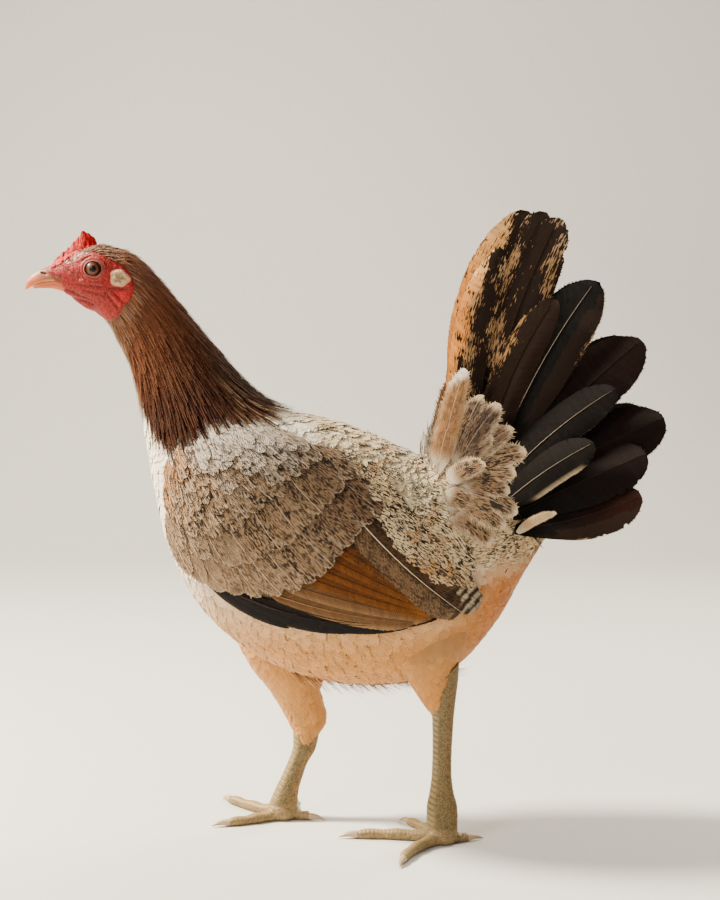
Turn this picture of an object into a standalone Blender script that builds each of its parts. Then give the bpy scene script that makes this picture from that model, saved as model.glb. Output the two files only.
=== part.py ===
"""A life-size hatch gamefowl hen, standing still on both feet with her tail carried high.

She faces -X with her left side towards -Y, and stands on the floor at Z = 0.
Lengths in this file are millimetres and become metres where a mesh is made.
"""

import math

import bmesh
import bpy
import numpy as np
from mathutils import Vector

MM = 0.001
GAP = 0.3  # between nodes that touch
LEFT, RIGHT = -1, 1  # the side of the bird, as the sign of Y

# The trunk runs from the face to the root of the tail as sections across its line.
# Each has its upper point (x, z), its lower point (x, z) and its half width.
TRUNK = (
    (-199.0, 379.0, -185.7, 362.7, 6.3),  # base of the bill
    (-192.3, 382.0, -179.7, 358.7, 8.6),
    (-183.0, 387.3, -172.3, 353.7, 11.3),
    (-173.0, 391.7, -165.0, 348.7, 13.6),  # eyes
    (-162.3, 394.7, -159.0, 343.3, 15.2),  # crown
    (-151.0, 392.0, -155.0, 337.3, 15.6),  # ears
    (-139.0, 386.3, -151.0, 329.3, 15.8),
    (-126.3, 374.0, -147.3, 322.7, 16.2),  # nape and throat
    (-113.0, 358.0, -144.0, 314.7, 17.5),
    (-99.7, 341.3, -140.7, 303.3, 20.5),
    (-85.0, 323.3, -138.0, 290.0, 25.5),
    (-69.0, 304.0, -135.3, 274.7, 32.0),
    (-53.0, 290.7, -132.7, 258.0, 40.0),  # root of the neck
    (-36.3, 284.3, -127.7, 231.3, 48.0),
    (-17.7, 280.7, -118.3, 192.7, 53.0),
    (2.3, 275.3, -95.7, 150.7, 55.0),  # breast
    (21.0, 268.0, -56.3, 118.0, 55.0),
    (37.7, 260.0, -11.0, 102.7, 53.0),  # belly
    (51.5, 255.0, 35.7, 101.3, 48.5),
    (61.0, 258.0, 72.3, 112.7, 41.5),  # rump
    (71.0, 258.0, 99.0, 141.3, 33.0),
    (81.5, 254.0, 117.0, 172.7, 24.0),
    (92.0, 246.0, 129.0, 192.7, 15.0),  # root of the tail
)
TRUNK_POWER = 2.25  # 2 is an ellipse, more is squarer
TRUNK_LEAN = 0.07  # how much wider a section is above its middle
HEAD_END, NECK_END, TORSO_END, TRUNK_END = 6.6, 11.6, 20.3, 22.0

HACKLE_DEPTH = 3.0  # the neck's core lies this far inside the coat
EYE = (-165.2, 377.6)
EYE_RADIUS, EYE_SINK = 5.7, 3.4
LID_RADIUS, LID_THICK = 5.0, 0.95
LID_LONG, LID_LOW, LID_DEEP = 1.06, 0.94, 1.2  # its shares along the eye, up and outwards
LID_PROUD = 0.2
LOBE, LOBE_RADII, LOBE_TILT = (-147.9, 371.1), (5.8, 2.4, 7.0), 14.0
LOBE_SINK = 0.4  # how deep its middle lies under the face's skin
EAR_FOLD, EAR_FOLD_RADII, EAR_FOLD_TILT = (-147.9, 360.2), (4.2, 2.0, 5.2), 12.0
EAR_FOLD_SINK = 0.6
WATTLE = ((-190.5, 360.8), (-180.0, 353.6), (-169.5, 351.3))  # the fold along the lower jaw
WATTLE_RADII = (0.73, 2.3, 0.95)
WATTLE_INSET = 0.8  # of the head's half width there

NODES = bpy.data.collections.new("hatch_gamefowl_hen")
TOOLS = bpy.data.collections.new("cutters")


def clear_scene():
    for thing in list(bpy.data.objects):
        bpy.data.objects.remove(thing, do_unlink=True)
    bpy.context.scene.collection.children.link(NODES)
    bpy.context.scene.collection.children.link(TOOLS)


def material(name, colour, roughness):
    made = bpy.data.materials.get(name)
    if made is None:
        made = bpy.data.materials.new(name)
        made.use_nodes = True
        shader = made.node_tree.nodes["Principled BSDF"]
        shader.inputs["Base Color"].default_value = (*colour, 1.0)
        shader.inputs["Roughness"].default_value = roughness
        shader.inputs["Metallic"].default_value = 0.0
    return made


def finish(thing, look):
    """Names the node's material, shades it smooth and puts it among the nodes."""
    thing.data.materials.clear()
    thing.data.materials.append(material(*LOOKS[look]))
    thing.data.shade_smooth()
    thing.data.set_sharp_from_angle(angle=math.radians(40))
    for holder in list(thing.users_collection):
        holder.objects.unlink(thing)
    NODES.objects.link(thing)
    return thing


LOOKS = {
    "face": ("red_face_skin", (0.62, 0.10, 0.08), 0.55),
    "comb": ("red_comb", (0.75, 0.02, 0.03), 0.45),
    "bill": ("horn_bill", (0.80, 0.45, 0.18), 0.35),
    "eye": ("eye", (0.10, 0.04, 0.02), 0.08),
    "lobe": ("pale_lobe", (0.80, 0.68, 0.50), 0.6),
    "hackle": ("hackle_feathers", (0.32, 0.12, 0.05), 0.7),
    "body": ("body_feathers", (0.80, 0.66, 0.50), 0.8),
    "wing": ("wing_feathers", (0.55, 0.42, 0.30), 0.75),
    "tail": ("tail_feathers", (0.03, 0.022, 0.02), 0.6),
    "leg": ("leg_scales", (0.52, 0.48, 0.32), 0.6),
    "claw": ("horn_claws", (0.55, 0.48, 0.38), 0.4),
}


def spline(table, t):
    """The row of a table at a fractional index, on a smooth curve through the rows."""
    last = len(table) - 1
    i = min(int(t), last - 1)
    f = t - i
    rows = [np.array(table[min(max(j, 0), last)], float) for j in (i - 1, i, i + 1, i + 2)]
    if i == 0:
        rows[0] = 2 * rows[1] - rows[2]
    if i == last - 1:
        rows[3] = 2 * rows[2] - rows[1]
    a, b, c, d = rows
    return 0.5 * (2 * b + (c - a) * f + (2 * a - 5 * b + 4 * c - d) * f**2 + (3 * b - a - 3 * c + d) * f**3)


def section_point(section, angle, grow=0.0, power=2.0, lean=0.0, centre_y=0.0):
    """A point of a section. Angle 0 is +Y and a quarter turn is the section's upper point."""
    upper, lower, half = np.array(section[0:2]), np.array(section[2:4]), section[4]
    centre, arm = (upper + lower) / 2, (upper - lower) / 2
    reach = np.linalg.norm(arm)
    s, c = math.sin(angle), math.cos(angle)
    rise = math.copysign(abs(s) ** (2 / power), s)
    side = math.copysign(abs(c) ** (2 / power), c)
    x, z = centre + arm / reach * rise * (reach + grow)
    return np.array([x, centre_y + side * (half + grow) * (1 + lean * rise), z])


def section_axis(section):
    """The unit direction across a section, towards the next one."""
    arm = np.array(section[0:2]) - np.array(section[2:4])
    x, z = arm / np.linalg.norm(arm)
    return np.array([z, 0.0, -x])


def ring(section, sides, shift=0.0, **shape):
    turn = 2 * math.pi / sides
    points = [section_point(section, turn * k, **shape) for k in range(sides)]
    return np.array(points) + section_axis(section) * shift


def mesh_object(name, points, faces):
    mesh = bpy.data.meshes.new(name)
    mesh.from_pydata([tuple(p * MM) for p in np.asarray(points, float)], [], faces)
    shape = bmesh.new()
    shape.from_mesh(mesh)
    bmesh.ops.recalc_face_normals(shape, faces=shape.faces)
    shape.to_mesh(mesh)
    shape.free()
    made = bpy.data.objects.new(name, mesh)
    TOOLS.objects.link(made)
    return made


def loft(name, rings):
    """A closed skin over rings of equally many points, with flat ends."""
    sides = len(rings[0])
    faces = [tuple(range(sides)), tuple(range((len(rings) - 1) * sides, len(rings) * sides))]
    for i in range(len(rings) - 1):
        for k in range(sides):
            n = (k + 1) % sides
            faces.append((i * sides + k, i * sides + n, (i + 1) * sides + n, (i + 1) * sides + k))
    return mesh_object(name, np.concatenate(rings), faces)


def plate(name, rows):
    """A closed thin plate. Each row has its upper points from edge to edge, then its lower ones.

    Both faces are split into triangles alike, so that they can't cross where the plate curves.
    """
    rows = np.array(rows)
    wide = rows.shape[1] // 2
    last = len(rows) - 1
    step = 2 * wide

    def upper(i, k):
        return i * step + k

    def lower(i, k):
        return i * step + wide + k

    faces = []
    for i in range(last):
        for k in range(wide - 1):
            for at, flip in ((upper, 1), (lower, -1)):
                corners = (at(i, k), at(i, k + 1), at(i + 1, k + 1), at(i + 1, k))
                faces.append((corners[0], corners[1], corners[2])[::flip])
                faces.append((corners[0], corners[2], corners[3])[::flip])
        for k in (0, wide - 1):
            faces.append((upper(i, k), upper(i + 1, k), lower(i + 1, k), lower(i, k)))
    for i in (0, last):
        for k in range(wide - 1):
            faces.append((upper(i, k), upper(i, k + 1), lower(i, k + 1), lower(i, k)))
    return mesh_object(name, rows.reshape(-1, 3), faces)


def bake(thing):
    """Replaces the object's mesh by the evaluated one, with its modifiers applied."""
    bpy.context.view_layer.update()
    graph = bpy.context.evaluated_depsgraph_get()
    made = bpy.data.meshes.new_from_object(thing.evaluated_get(graph))
    thing.modifiers.clear()
    thing.data = made
    return thing


def keep_largest(thing):
    """Drops every closed surface but the largest."""
    shape = bmesh.new()
    shape.from_mesh(thing.data)
    shape.faces.ensure_lookup_table()
    groups, seen = [], set()
    for start in shape.faces:
        if start in seen:
            continue
        group, stack = [], [start]
        seen.add(start)
        while stack:
            face = stack.pop()
            group.append(face)
            for edge in face.edges:
                for near in edge.link_faces:
                    if near not in seen:
                        seen.add(near)
                        stack.append(near)
        groups.append(group)

    def volume(group):
        total = 0.0
        for face in group:
            corners = [v.co for v in face.verts]
            for b, c in zip(corners[1:], corners[2:]):
                total += corners[0].dot(b.cross(c)) / 6
        return abs(total)

    groups.sort(key=volume)
    loose = {v for group in groups[:-1] for face in group for v in face.verts}
    bmesh.ops.delete(shape, geom=list(loose), context="VERTS")
    shape.to_mesh(thing.data)
    shape.free()
    return thing


def fuse(name, pieces, solver="EXACT"):
    """One closed body from pieces that overlap."""
    body, rest = pieces[0], pieces[1:]
    body.name = name
    body.data.name = name
    if rest:
        others = bpy.data.collections.new(name + "_pieces")
        bpy.context.scene.collection.children.link(others)
        for piece in rest:
            TOOLS.objects.unlink(piece)
            others.objects.link(piece)
        join = body.modifiers.new("join", "BOOLEAN")
        join.operation = "UNION"
        join.operand_type = "COLLECTION"
        join.collection = others
        join.solver = solver
        bake(body)
        for piece in list(others.objects):
            bpy.data.objects.remove(piece, do_unlink=True)
        bpy.data.collections.remove(others)
    return keep_largest(body)


def cut(thing, *tools, operation="DIFFERENCE", keep_tools=False, solver="EXACT"):
    for tool in tools:
        saw = thing.modifiers.new("cut", "BOOLEAN")
        saw.operation = operation
        saw.object = tool
        saw.solver = solver
        bake(thing)
        if not keep_tools:
            bpy.data.objects.remove(tool, do_unlink=True)
    return keep_largest(thing)


def ellipsoid(name, centre, radii, segments=16, rings=10, tilt=0.0):
    """A ball squeezed to three radii, tilted about Y by an angle in degrees."""
    mesh = bpy.data.meshes.new(name)
    shape = bmesh.new()
    bmesh.ops.create_uvsphere(shape, u_segments=segments, v_segments=rings, radius=1.0)
    turn = math.radians(tilt)
    for v in shape.verts:
        x, y, z = (v.co[i] * radii[i] for i in range(3))
        v.co = Vector((
            centre[0] + x * math.cos(turn) + z * math.sin(turn),
            centre[1] + y,
            centre[2] - x * math.sin(turn) + z * math.cos(turn),
        )) * MM
    shape.to_mesh(mesh)
    shape.free()
    made = bpy.data.objects.new(name, mesh)
    TOOLS.objects.link(made)
    return made


def trunk_section(t):
    return spline(TRUNK, t)


def trunk_piece(name, start, end, count, sides=24, grow=0.0, gaps=(GAP / 2, -GAP / 2)):
    """A length of the trunk, its flat ends drawn in by half a gap."""
    rings = []
    for i in range(count):
        t = start + (end - start) * i / (count - 1)
        shift = gaps[0] if i == 0 else gaps[1] if i == count - 1 else 0.0
        swell = grow(t) if callable(grow) else grow
        rings.append(ring(trunk_section(t), sides, shift, grow=swell, power=TRUNK_POWER, lean=TRUNK_LEAN))
    return loft(name, rings)


TORSO_RINGS, TORSO_SIDES = 23, 22


def torso_body(name, grow=0.0):
    """The torso, or the same shape grown, which cuts what lies on it to the gap."""
    ends = (GAP / 2, -GAP / 2) if grow == 0 else (-GAP / 3, GAP / 3)
    return trunk_piece(name, NECK_END, TORSO_END, TORSO_RINGS, TORSO_SIDES, grow, ends)


def side_table():
    """The trunk's line, for finding where a point of the side view lies on it."""
    rows = []
    for t in np.linspace(8.0, TRUNK_END, 561):
        section = trunk_section(t)
        centre = (section[0:2] + section[2:4]) / 2
        rows.append((t, *centre, *section_axis(section)[[0, 2]]))
    return np.array(rows)


SIDE_TABLE = side_table()
SIDE_REACH = 0.94  # past this share of a section's height the side goes on straight


def side_depth(x, z):
    """How far the trunk's side stands out in Y at a point of the side view."""
    ahead = (x - SIDE_TABLE[:, 1]) * SIDE_TABLE[:, 3] + (z - SIDE_TABLE[:, 2]) * SIDE_TABLE[:, 4]
    i = int(np.clip(np.searchsorted(-ahead, 0.0), 1, len(ahead) - 1))
    f = ahead[i - 1] / (ahead[i - 1] - ahead[i])
    section = trunk_section(SIDE_TABLE[i - 1, 0] + f * (SIDE_TABLE[i, 0] - SIDE_TABLE[i - 1, 0]))
    arm = (section[0:2] - section[2:4]) / 2
    centre = (section[0:2] + section[2:4]) / 2
    rise = np.dot(np.array([x, z]) - centre, arm) / np.dot(arm, arm)
    rise = float(np.clip(rise, -SIDE_REACH, SIDE_REACH))
    return section[4] * (1 - abs(rise) ** TRUNK_POWER) ** (1 / TRUNK_POWER) * (1 + TRUNK_LEAN * rise)


def side_point(x, z, lift, side):
    """A point that stands off the trunk's side by lift, over a point of the side view."""
    probe = 4.0
    slope_x = (side_depth(x + probe, z) - side_depth(x - probe, z)) / (2 * probe)
    slope_z = (side_depth(x, z + probe) - side_depth(x, z - probe)) / (2 * probe)
    out = np.array([-slope_x, 1.0, -slope_z])
    out /= np.linalg.norm(out)
    point = np.array([x, side_depth(x, z), z]) + out * lift
    point[1] *= side
    return point


# The folded left wing in the side view, from its front end to its tip. The right wing mirrors it.
WING_UPPER = (
    (-104.0, 236.0), (-98.8, 249.2), (-76.5, 259.5), (-51.2, 261.0), (-22.7, 255.5), (2.7, 244.1),
    (18.5, 230.1), (34.4, 212.2), (53.5, 193.0), (72.7, 177.0), (89.0, 167.5),
)
WING_LOWER = (
    (-108.0, 228.0), (-105.5, 201.4), (-96.0, 183.4), (-77.0, 168.0), (-53.5, 156.4), (-29.3, 148.1),
    (-0.6, 143.2), (28.1, 144.2), (50.5, 148.7), (72.8, 157.0), (89.0, 163.0),
)
WING_SHOULDER = (-72.0, 226.0)
WING_SWELL, WING_SWELL_REACH = 5.5, 50.0  # how far the shoulder stands out, and how wide that is
WING_EDGE = 1.1  # how far the wing's edge stands off the body
WING_SINK = 3.0  # how deep its inner face starts under the body's side


def wing_lift(x, z):
    away = math.hypot(x - WING_SHOULDER[0], z - WING_SHOULDER[1]) / WING_SWELL_REACH
    return WING_EDGE + WING_SWELL * math.exp(-(away**2))


def wing_core(name, side, columns=13, rows=6):
    """The wing's body. Its inner face is sunk in the torso, whose grown shape cuts it."""
    outer, inner = [], []
    for i in range(columns):
        s = i / (columns - 1) * (len(WING_UPPER) - 1)
        upper, lower = spline(WING_UPPER, s), spline(WING_LOWER, s)
        line = [upper + (lower - upper) * k / (rows - 1) for k in range(rows)]
        outer.append([side_point(x, z, wing_lift(x, z), side) for x, z in line])
        inner.append([side_point(x, z, -WING_SINK, side) for x, z in line])
    return plate(name, [a + b for a, b in zip(outer, inner)])


def thigh(name, table, count, side):
    return loft(name, leg_rings(table, count, side, 12, (0.0, -GAP / 2)))


def leg_rings(table, count, side, sides, gaps, grow=0.0):
    """Rings down a leg. A row has a front point, a rear point, a half width and a centre in Y."""
    rings = []
    for i in range(count):
        row = spline(table, (len(table) - 1) * i / (count - 1))
        section = np.array([row[2], row[3], row[0], row[1], row[4]])
        shift = gaps[0] if i == 0 else gaps[1] if i == count - 1 else 0.0
        rings.append(ring(section, sides, shift, grow=grow, power=2.0, centre_y=side * row[5]))
    return rings


LEGS = {
    LEFT: {
        "thigh": (
            (28.0, 138.0, 84.0, 152.0, 15.0, 23.0),
            (34.0, 118.0, 79.0, 134.0, 15.5, 26.5),
            (43.5, 103.5, 73.6, 120.0, 13.0, 29.0),
            (51.3, 91.8, 73.4, 113.0, 10.4, 29.4),
            (55.8, 86.6, 73.0, 108.0, 8.2, 29.5),
        ),
        "shank": (
            (55.8, 86.6, 73.0, 108.0, 7.6, 29.5),
            (56.7, 78.0, 71.2, 91.0, 7.0, 29.3),
            (56.9, 68.0, 69.8, 72.0, 5.9, 29.1),
            (56.8, 55.0, 69.2, 56.0, 5.6, 28.9),
            (56.2, 43.0, 69.4, 43.5, 5.9, 28.8),
            (54.8, 33.0, 71.0, 33.0, 6.8, 28.7),
            (53.2, 24.0, 73.2, 24.0, 8.0, 28.6),
            (53.4, 9.0, 73.4, 9.0, 8.4, 28.5),
        ),
        "ball": (63.0, 28.5),
        "toes": {
            "middle": ((-5.0, 19.0), 4.3, 4.0),
            "outer": ((34.0, 82.0), 4.1, 6.0),
            "inner": ((36.0, -21.0), 4.0, 2.0),
            "rear": ((91.0, 21.0), 3.9, 1.0),
        },
    },
    RIGHT: {
        "thigh": (
            (-80.0, 146.0, 0.0, 136.0, 17.0, 22.0),
            (-74.0, 121.5, -8.0, 112.0, 17.5, 25.0),
            (-64.3, 103.9, -17.4, 94.0, 16.0, 27.0),
            (-55.6, 93.2, -16.6, 84.0, 13.6, 27.6),
            (-48.6, 82.5, -14.2, 74.5, 11.4, 27.5),
            (-41.6, 69.8, -15.0, 66.0, 9.5, 27.5),
            (-37.0, 60.4, -19.2, 60.0, 8.3, 27.2),
        ),
        "shank": (
            (-37.0, 60.4, -19.2, 60.0, 7.7, 27.2),
            (-37.2, 50.0, -21.8, 49.0, 7.0, 27.2),
            (-40.8, 39.5, -27.2, 39.5, 6.1, 27.1),
            (-45.2, 29.5, -30.8, 29.5, 6.4, 27.0),
            (-50.0, 19.5, -33.4, 20.5, 7.6, 27.0),
            (-54.4, 9.0, -34.4, 9.0, 8.4, 27.0),
        ),
        "ball": (-44.6, 27.0),
        "toes": {
            "middle": ((-90.0, 74.0), 4.3, 3.0),
            "outer": ((-42.0, 82.0), 4.0, -3.0),
            "inner": ((-92.0, 6.0), 4.1, 3.0),
            "rear": ((-15.0, 20.0), 3.9, 1.0),
        },
    },
}
BALL_RADII, BALL_HEIGHT = (10.8, 9.8, 8.2), 5.9  # the ball of the foot, flat underneath
SCUTES, SCUTE_STEP = 7, 0.45  # plates down the front of a shank
TOE_INSIDE = 4.0  # how far from the foot's middle a toe starts
TOE_FULL, TOE_TAPER, TOE_PADS, TOE_END = 0.98, 0.26, 0.06, 0.72  # shares of its radius
TOE_SQUAT = 0.85  # height of its line over its radius
CLAW_LENGTH = 11.0
CLAW_SHARES = (0.62, 0.5, 0.32, 0.07)  # of the toe's radius, from root to tip
CLAW_ROOT, CLAW_ARCH, CLAW_DROP = 0.62, 0.25, 0.38  # height of its line, as shares of that radius


def shank(name, side, grow=0.0):
    """The scaled shank from the hock to the ball of the foot, with a step at each front plate."""
    rings = leg_rings(LEGS[side]["shank"], 2 * SCUTES, side, 10, (GAP / 2, 0.0), grow)
    for i, points in enumerate(rings):
        if i % 2 and grow == 0.0:
            centre = points.mean(axis=0)
            front = points[:, 0] < centre[0]
            out = points - centre
            points[front] += out[front] / np.linalg.norm(out[front], axis=1)[:, None] * SCUTE_STEP
    return loft(name, rings)


def foot_ball(name, side, grow=0.0):
    x, y = LEGS[side]["ball"]
    made = ellipsoid(name, (x, side * y, BALL_HEIGHT), [r + grow for r in BALL_RADII], 14, 8)
    for v in made.data.vertices:
        v.co.z = max(v.co.z, -grow * MM)
    return made


def toe_path(side, toe):
    """The toe's bent line on the floor: start, tip and the bow sideways between them."""
    tip, radius, bow = LEGS[side]["toes"][toe]
    start = np.array(LEGS[side]["ball"])
    end = np.array(tip)
    run = (end - start) / np.linalg.norm(end - start)
    across = np.array([-run[1], run[0]])
    length = np.linalg.norm(end - start)

    def place(d):
        f = d / length
        x, y = start + run * d + across * bow * 4 * f * (1 - f)
        return np.array([x, side * y])

    return place, length, radius


def tube(name, points, radii, sides, floor):
    """A tube of upright rings through points, no part of it below the floor."""
    rings = []
    for i, centre in enumerate(points):
        ahead = (points[min(i + 1, len(points) - 1)] - points[max(i - 1, 0)]) * (1, 1, 0)
        ahead = ahead / np.linalg.norm(ahead)
        rise = np.array([0.0, 0.0, 1.0])
        across = np.cross(ahead, rise)
        turns = [2 * math.pi * (k + 0.5) / sides for k in range(sides)]
        circle = [centre + (across * math.cos(a) + rise * math.sin(a)) * radii[i] for a in turns]
        rings.append(np.array([(x, y, max(z, floor)) for x, y, z in circle]))
    return loft(name, rings)


def toe_and_claw(side, toe):
    """A toe with the swellings of its pads, and its claw a gap past its end."""
    place, length, radius = toe_path(side, toe)
    end = length - CLAW_LENGTH
    count = 7
    points, radii = [], []
    for i in range(count):
        f = i / (count - 1)
        size = radius * (TOE_FULL - TOE_TAPER * f) * (1 - TOE_PADS * math.cos(6 * math.pi * f))
        if i == count - 1:
            size *= TOE_END
        points.append(np.array([*place(TOE_INSIDE + (end - TOE_INSIDE) * f), size * TOE_SQUAT]))
        radii.append(size)
    node = tube(f"{toe}_toe_{SIDES[side]}", points, radii, 8, 0.0)
    points, radii = [], []
    for f, share in zip(np.linspace(0.0, 1.0, len(CLAW_SHARES)), CLAW_SHARES):
        height = radius * (CLAW_ROOT + CLAW_ARCH * math.sin(math.pi * f) - CLAW_DROP * f)
        points.append(np.array([*place(end + 2 * GAP + (CLAW_LENGTH - 2 * GAP) * f), height]))
        radii.append(radius * share)
    return node, tube(f"{toe}_claw_{SIDES[side]}", points, radii, 6, GAP / 2)


SIDES = {LEFT: "left", RIGHT: "right"}


# Tail feathers of one side: root (x, z), tip (x, z), width, distance from the middle in Y at
# the root and at the tip, tilt in degrees that brings the lower edge outwards, and bow forwards.
TAIL = (
    ((84.0, 232.0), (117.0, 416.0), 37.0, 3.0, 7.0, 6.0, 17.0),
    ((88.0, 230.0), (139.0, 411.0), 37.0, 5.0, 11.0, 10.0, 10.0),
    ((91.0, 226.0), (163.0, 370.0), 41.0, 7.0, 17.0, 14.0, 7.0),
    ((94.0, 222.0), (192.0, 331.0), 42.0, 9.0, 23.0, 18.0, 6.0),
    ((97.0, 217.0), (206.0, 281.0), 41.0, 11.0, 30.0, 21.0, 4.0),
    ((100.0, 211.0), (194.0, 258.0), 37.0, 13.0, 36.0, 24.0, 1.0),
    ((103.0, 205.0), (190.0, 231.0), 32.0, 15.0, 41.0, 26.0, -4.0),
)
TAIL_COVERTS = (
    ((82.0, 240.0), (101.0, 392.0), 25.0, 6.0, 13.5, 8.0, 12.0),
    ((88.0, 234.0), (136.0, 358.0), 26.0, 9.0, 18.0, 13.0, 8.0),
    ((94.0, 227.0), (175.0, 300.0), 27.0, 12.0, 29.0, 19.0, 5.0),
    ((98.0, 218.0), (160.0, 265.0), 25.0, 15.0, 35.0, 23.0, 3.0),
)
TAIL_SMALL = (
    ((80.0, 244.0), (62.0, 286.0), 15.0, 5.0, 9.0, 6.0, 2.0),
    ((82.0, 240.0), (75.5, 310.0), 15.0, 10.0, 17.0, 8.0, 5.0),
    ((84.0, 238.0), (101.0, 282.0), 18.0, 15.0, 25.0, 14.0, 3.0),
    ((84.0, 232.0), (117.0, 258.0), 18.0, 19.0, 33.0, 20.0, 2.0),
    ((84.0, 222.0), (112.0, 219.0), 18.0, 23.0, 38.0, 26.0, 2.0),
    ((96.0, 205.0), (133.0, 220.0), 12.0, 18.0, 33.0, 24.0, 0.0),
)
BROAD = ((0.0, 0.2), (0.4, 0.8), (0.72, 1.0), (0.88, 0.94), (0.96, 0.68), (1.0, 0.25))
BLUNT = ((0.0, 0.28), (0.4, 0.88), (0.78, 1.0), (0.94, 0.64), (1.0, 0.2))
SHORT = ((0.0, 0.45), (0.45, 0.96), (0.84, 0.9), (1.0, 0.26))
POINTED = ((0.0, 0.85), (0.35, 1.0), (0.75, 0.72), (1.0, 0.14))


def vane(name, place, width, profile, thickness=0.8, camber=0.0):
    """A feather's plate. place(f, a, lift) puts the point at f along it and a across it.

    A cambered plate has a middle line that is raised, and one without has only its two edges.
    """
    rows = []
    for f, share in profile:
        reach = width / 2 * share
        thick = thickness * (1 - 0.3 * f)
        bulge = (0.0, camber * share, 0.0) if camber else (0.0, 0.0)
        across = (-reach, 0.0, reach) if camber else (-reach, reach)
        rows.append(
            [place(f, a, thick + b) for a, b in zip(across, bulge)]
            + [place(f, a, b) for a, b in zip(across, bulge)]
        )
    return plate(name, rows)


def tail_feather(name, side, row, profile):
    root, tip, width, y_root, y_tip, tilt, bow = row
    run = np.array(tip) - np.array(root)
    run = run / np.linalg.norm(run)
    upward = np.array([-run[1], run[0]])
    lean = math.radians(tilt)

    def place(f, a, lift):
        x, z = np.array(root) + (np.array(tip) - np.array(root)) * f + upward * bow * 4 * f * (1 - f)
        x, z = np.array([x, z]) + upward * (a * math.cos(lean) + lift * math.sin(lean))
        y = y_root + (y_tip - y_root) * f - a * math.sin(lean) + lift * math.cos(lean)
        return np.array([x, side * max(y, GAP / 2), z])

    return vane(name, place, width, profile, camber=1.0)


def tail_block(name, side):
    """The root of one half of the tail, flat on the middle plane."""
    angles = [math.pi * (k / 12 - 0.5) for k in range(13)]
    rings = []
    count = 5
    for i in range(count):
        t = TORSO_END + (TRUNK_END - TORSO_END) * i / (count - 1)
        section = trunk_section(t)
        shift = GAP / 2 if i == 0 else 0.0
        shape = {"power": TRUNK_POWER, "lean": TRUNK_LEAN}
        points = np.array([section_point(section, a, **shape) for a in angles])
        points += section_axis(section) * shift
        points[:, 1] = side * np.maximum(points[:, 1], GAP / 2)
        rings.append(points)
    return loft(name, rings)


def tail(side):
    name = f"tail_{SIDES[side]}"
    pieces = [tail_block(name, side)]
    for group, profile in ((TAIL, BROAD), (TAIL_COVERTS, BLUNT), (TAIL_SMALL, SHORT)):
        for row in group:
            pieces.append(tail_feather("feather", side, row, profile))
    node = fuse(name, pieces)
    return cut(node, torso_body("torso_cutter", GAP))


# The comb in the side view: x, height of the top edge. Its base follows the crown.
COMB = (
    (-191.5, 381.8), (-189.5, 384.5), (-186.5, 387.0), (-184.0, 388.2), (-181.5, 390.2), (-179.5, 395.5),
    (-177.5, 396.5), (-175.5, 397.0), (-173.5, 401.6), (-171.0, 401.2), (-168.5, 399.5), (-166.0, 397.6),
    (-164.5, 395.4),
)
COMB_SINK = 3.0
COMB_BASE, COMB_TOP = 1.9, 0.8  # half thicknesses

# Bill sections from the face to the tip, as the trunk's: upper point, lower point, half width.
BILL_UPPER = (
    (-199.0, 379.0, -191.7, 370.1, 6.3),
    (-203.0, 377.5, -197.7, 369.7, 5.3),
    (-207.0, 375.1, -203.7, 368.5, 4.1),
    (-210.3, 371.7, -208.3, 366.7, 2.7),
    (-212.2, 368.0, -211.0, 365.1, 1.3),
    (-212.8, 364.9, -212.5, 364.3, 0.4),
)
BILL_LOWER = (
    (-191.4, 369.7, -185.7, 362.7, 6.0),
    (-197.5, 369.2, -193.5, 365.0, 4.9),
    (-203.5, 368.0, -200.8, 365.4, 3.5),
    (-207.6, 366.4, -206.3, 365.3, 1.5),
)
NOSTRIL, NOSTRIL_Y, NOSTRIL_RADII, NOSTRIL_TILT = (-199.6, 375.2), 5.0, (2.3, 1.2, 0.75), -16.0


def crown(x):
    """Height of the top of the head at x."""
    rows = [trunk_section(t)[0:2] for t in np.linspace(0, 6, 61)]
    return float(np.interp(x, [r[0] for r in rows], [r[1] for r in rows]))


def head_surface(x, z):
    """How far the side of the head stands out in Y at a point of the side view."""
    best = None
    for t in np.linspace(0.0, HEAD_END, 133):
        section = trunk_section(t)
        away = abs(np.dot(np.array([x, z]) - (section[0:2] + section[2:4]) / 2, section_axis(section)[[0, 2]]))
        if best is None or away < best[0]:
            best = (away, section)
    section = best[1]
    arm = (section[0:2] - section[2:4]) / 2
    rise = np.dot(np.array([x, z]) - (section[0:2] + section[2:4]) / 2, arm) / np.dot(arm, arm)
    rise = float(np.clip(rise, -SIDE_REACH, SIDE_REACH))
    return section[4] * (1 - abs(rise) ** TRUNK_POWER) ** (1 / TRUNK_POWER) * (1 + TRUNK_LEAN * rise)


def head_shell(name, grow=0.0):
    ends = (GAP / 2, -GAP / 2) if grow == 0 else (-GAP / 3, GAP / 3)
    return trunk_piece(name, 0.0, HEAD_END, 15, sides=18, grow=grow, gaps=ends)


def lid(name, side):
    """The ring of both lids, narrower from top to bottom than from front to back."""
    count, sides = 12, 6
    middle = np.array([EYE[0], head_surface(*EYE) + LID_PROUD, EYE[1]])
    deep = np.array([0.0, LID_DEEP, 0.0])
    turns = [2 * math.pi * (k + 0.5) / sides for k in range(sides)]
    points = []
    for i in range(count):
        a = 2 * math.pi * i / count
        out = np.array([math.cos(a), 0.0, math.sin(a)])
        centre = middle + out * (LID_LONG, 0.0, LID_LOW) * LID_RADIUS
        points += [centre + (out * math.cos(b) + deep * math.sin(b)) * LID_THICK for b in turns]
    faces = []
    for i in range(count):
        for k in range(sides):
            n, j = (k + 1) % sides, (i + 1) % count
            faces.append((i * sides + k, i * sides + n, j * sides + n, j * sides + k))
    return mesh_object(name, np.array(points) * (1, side, 1), faces)


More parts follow.
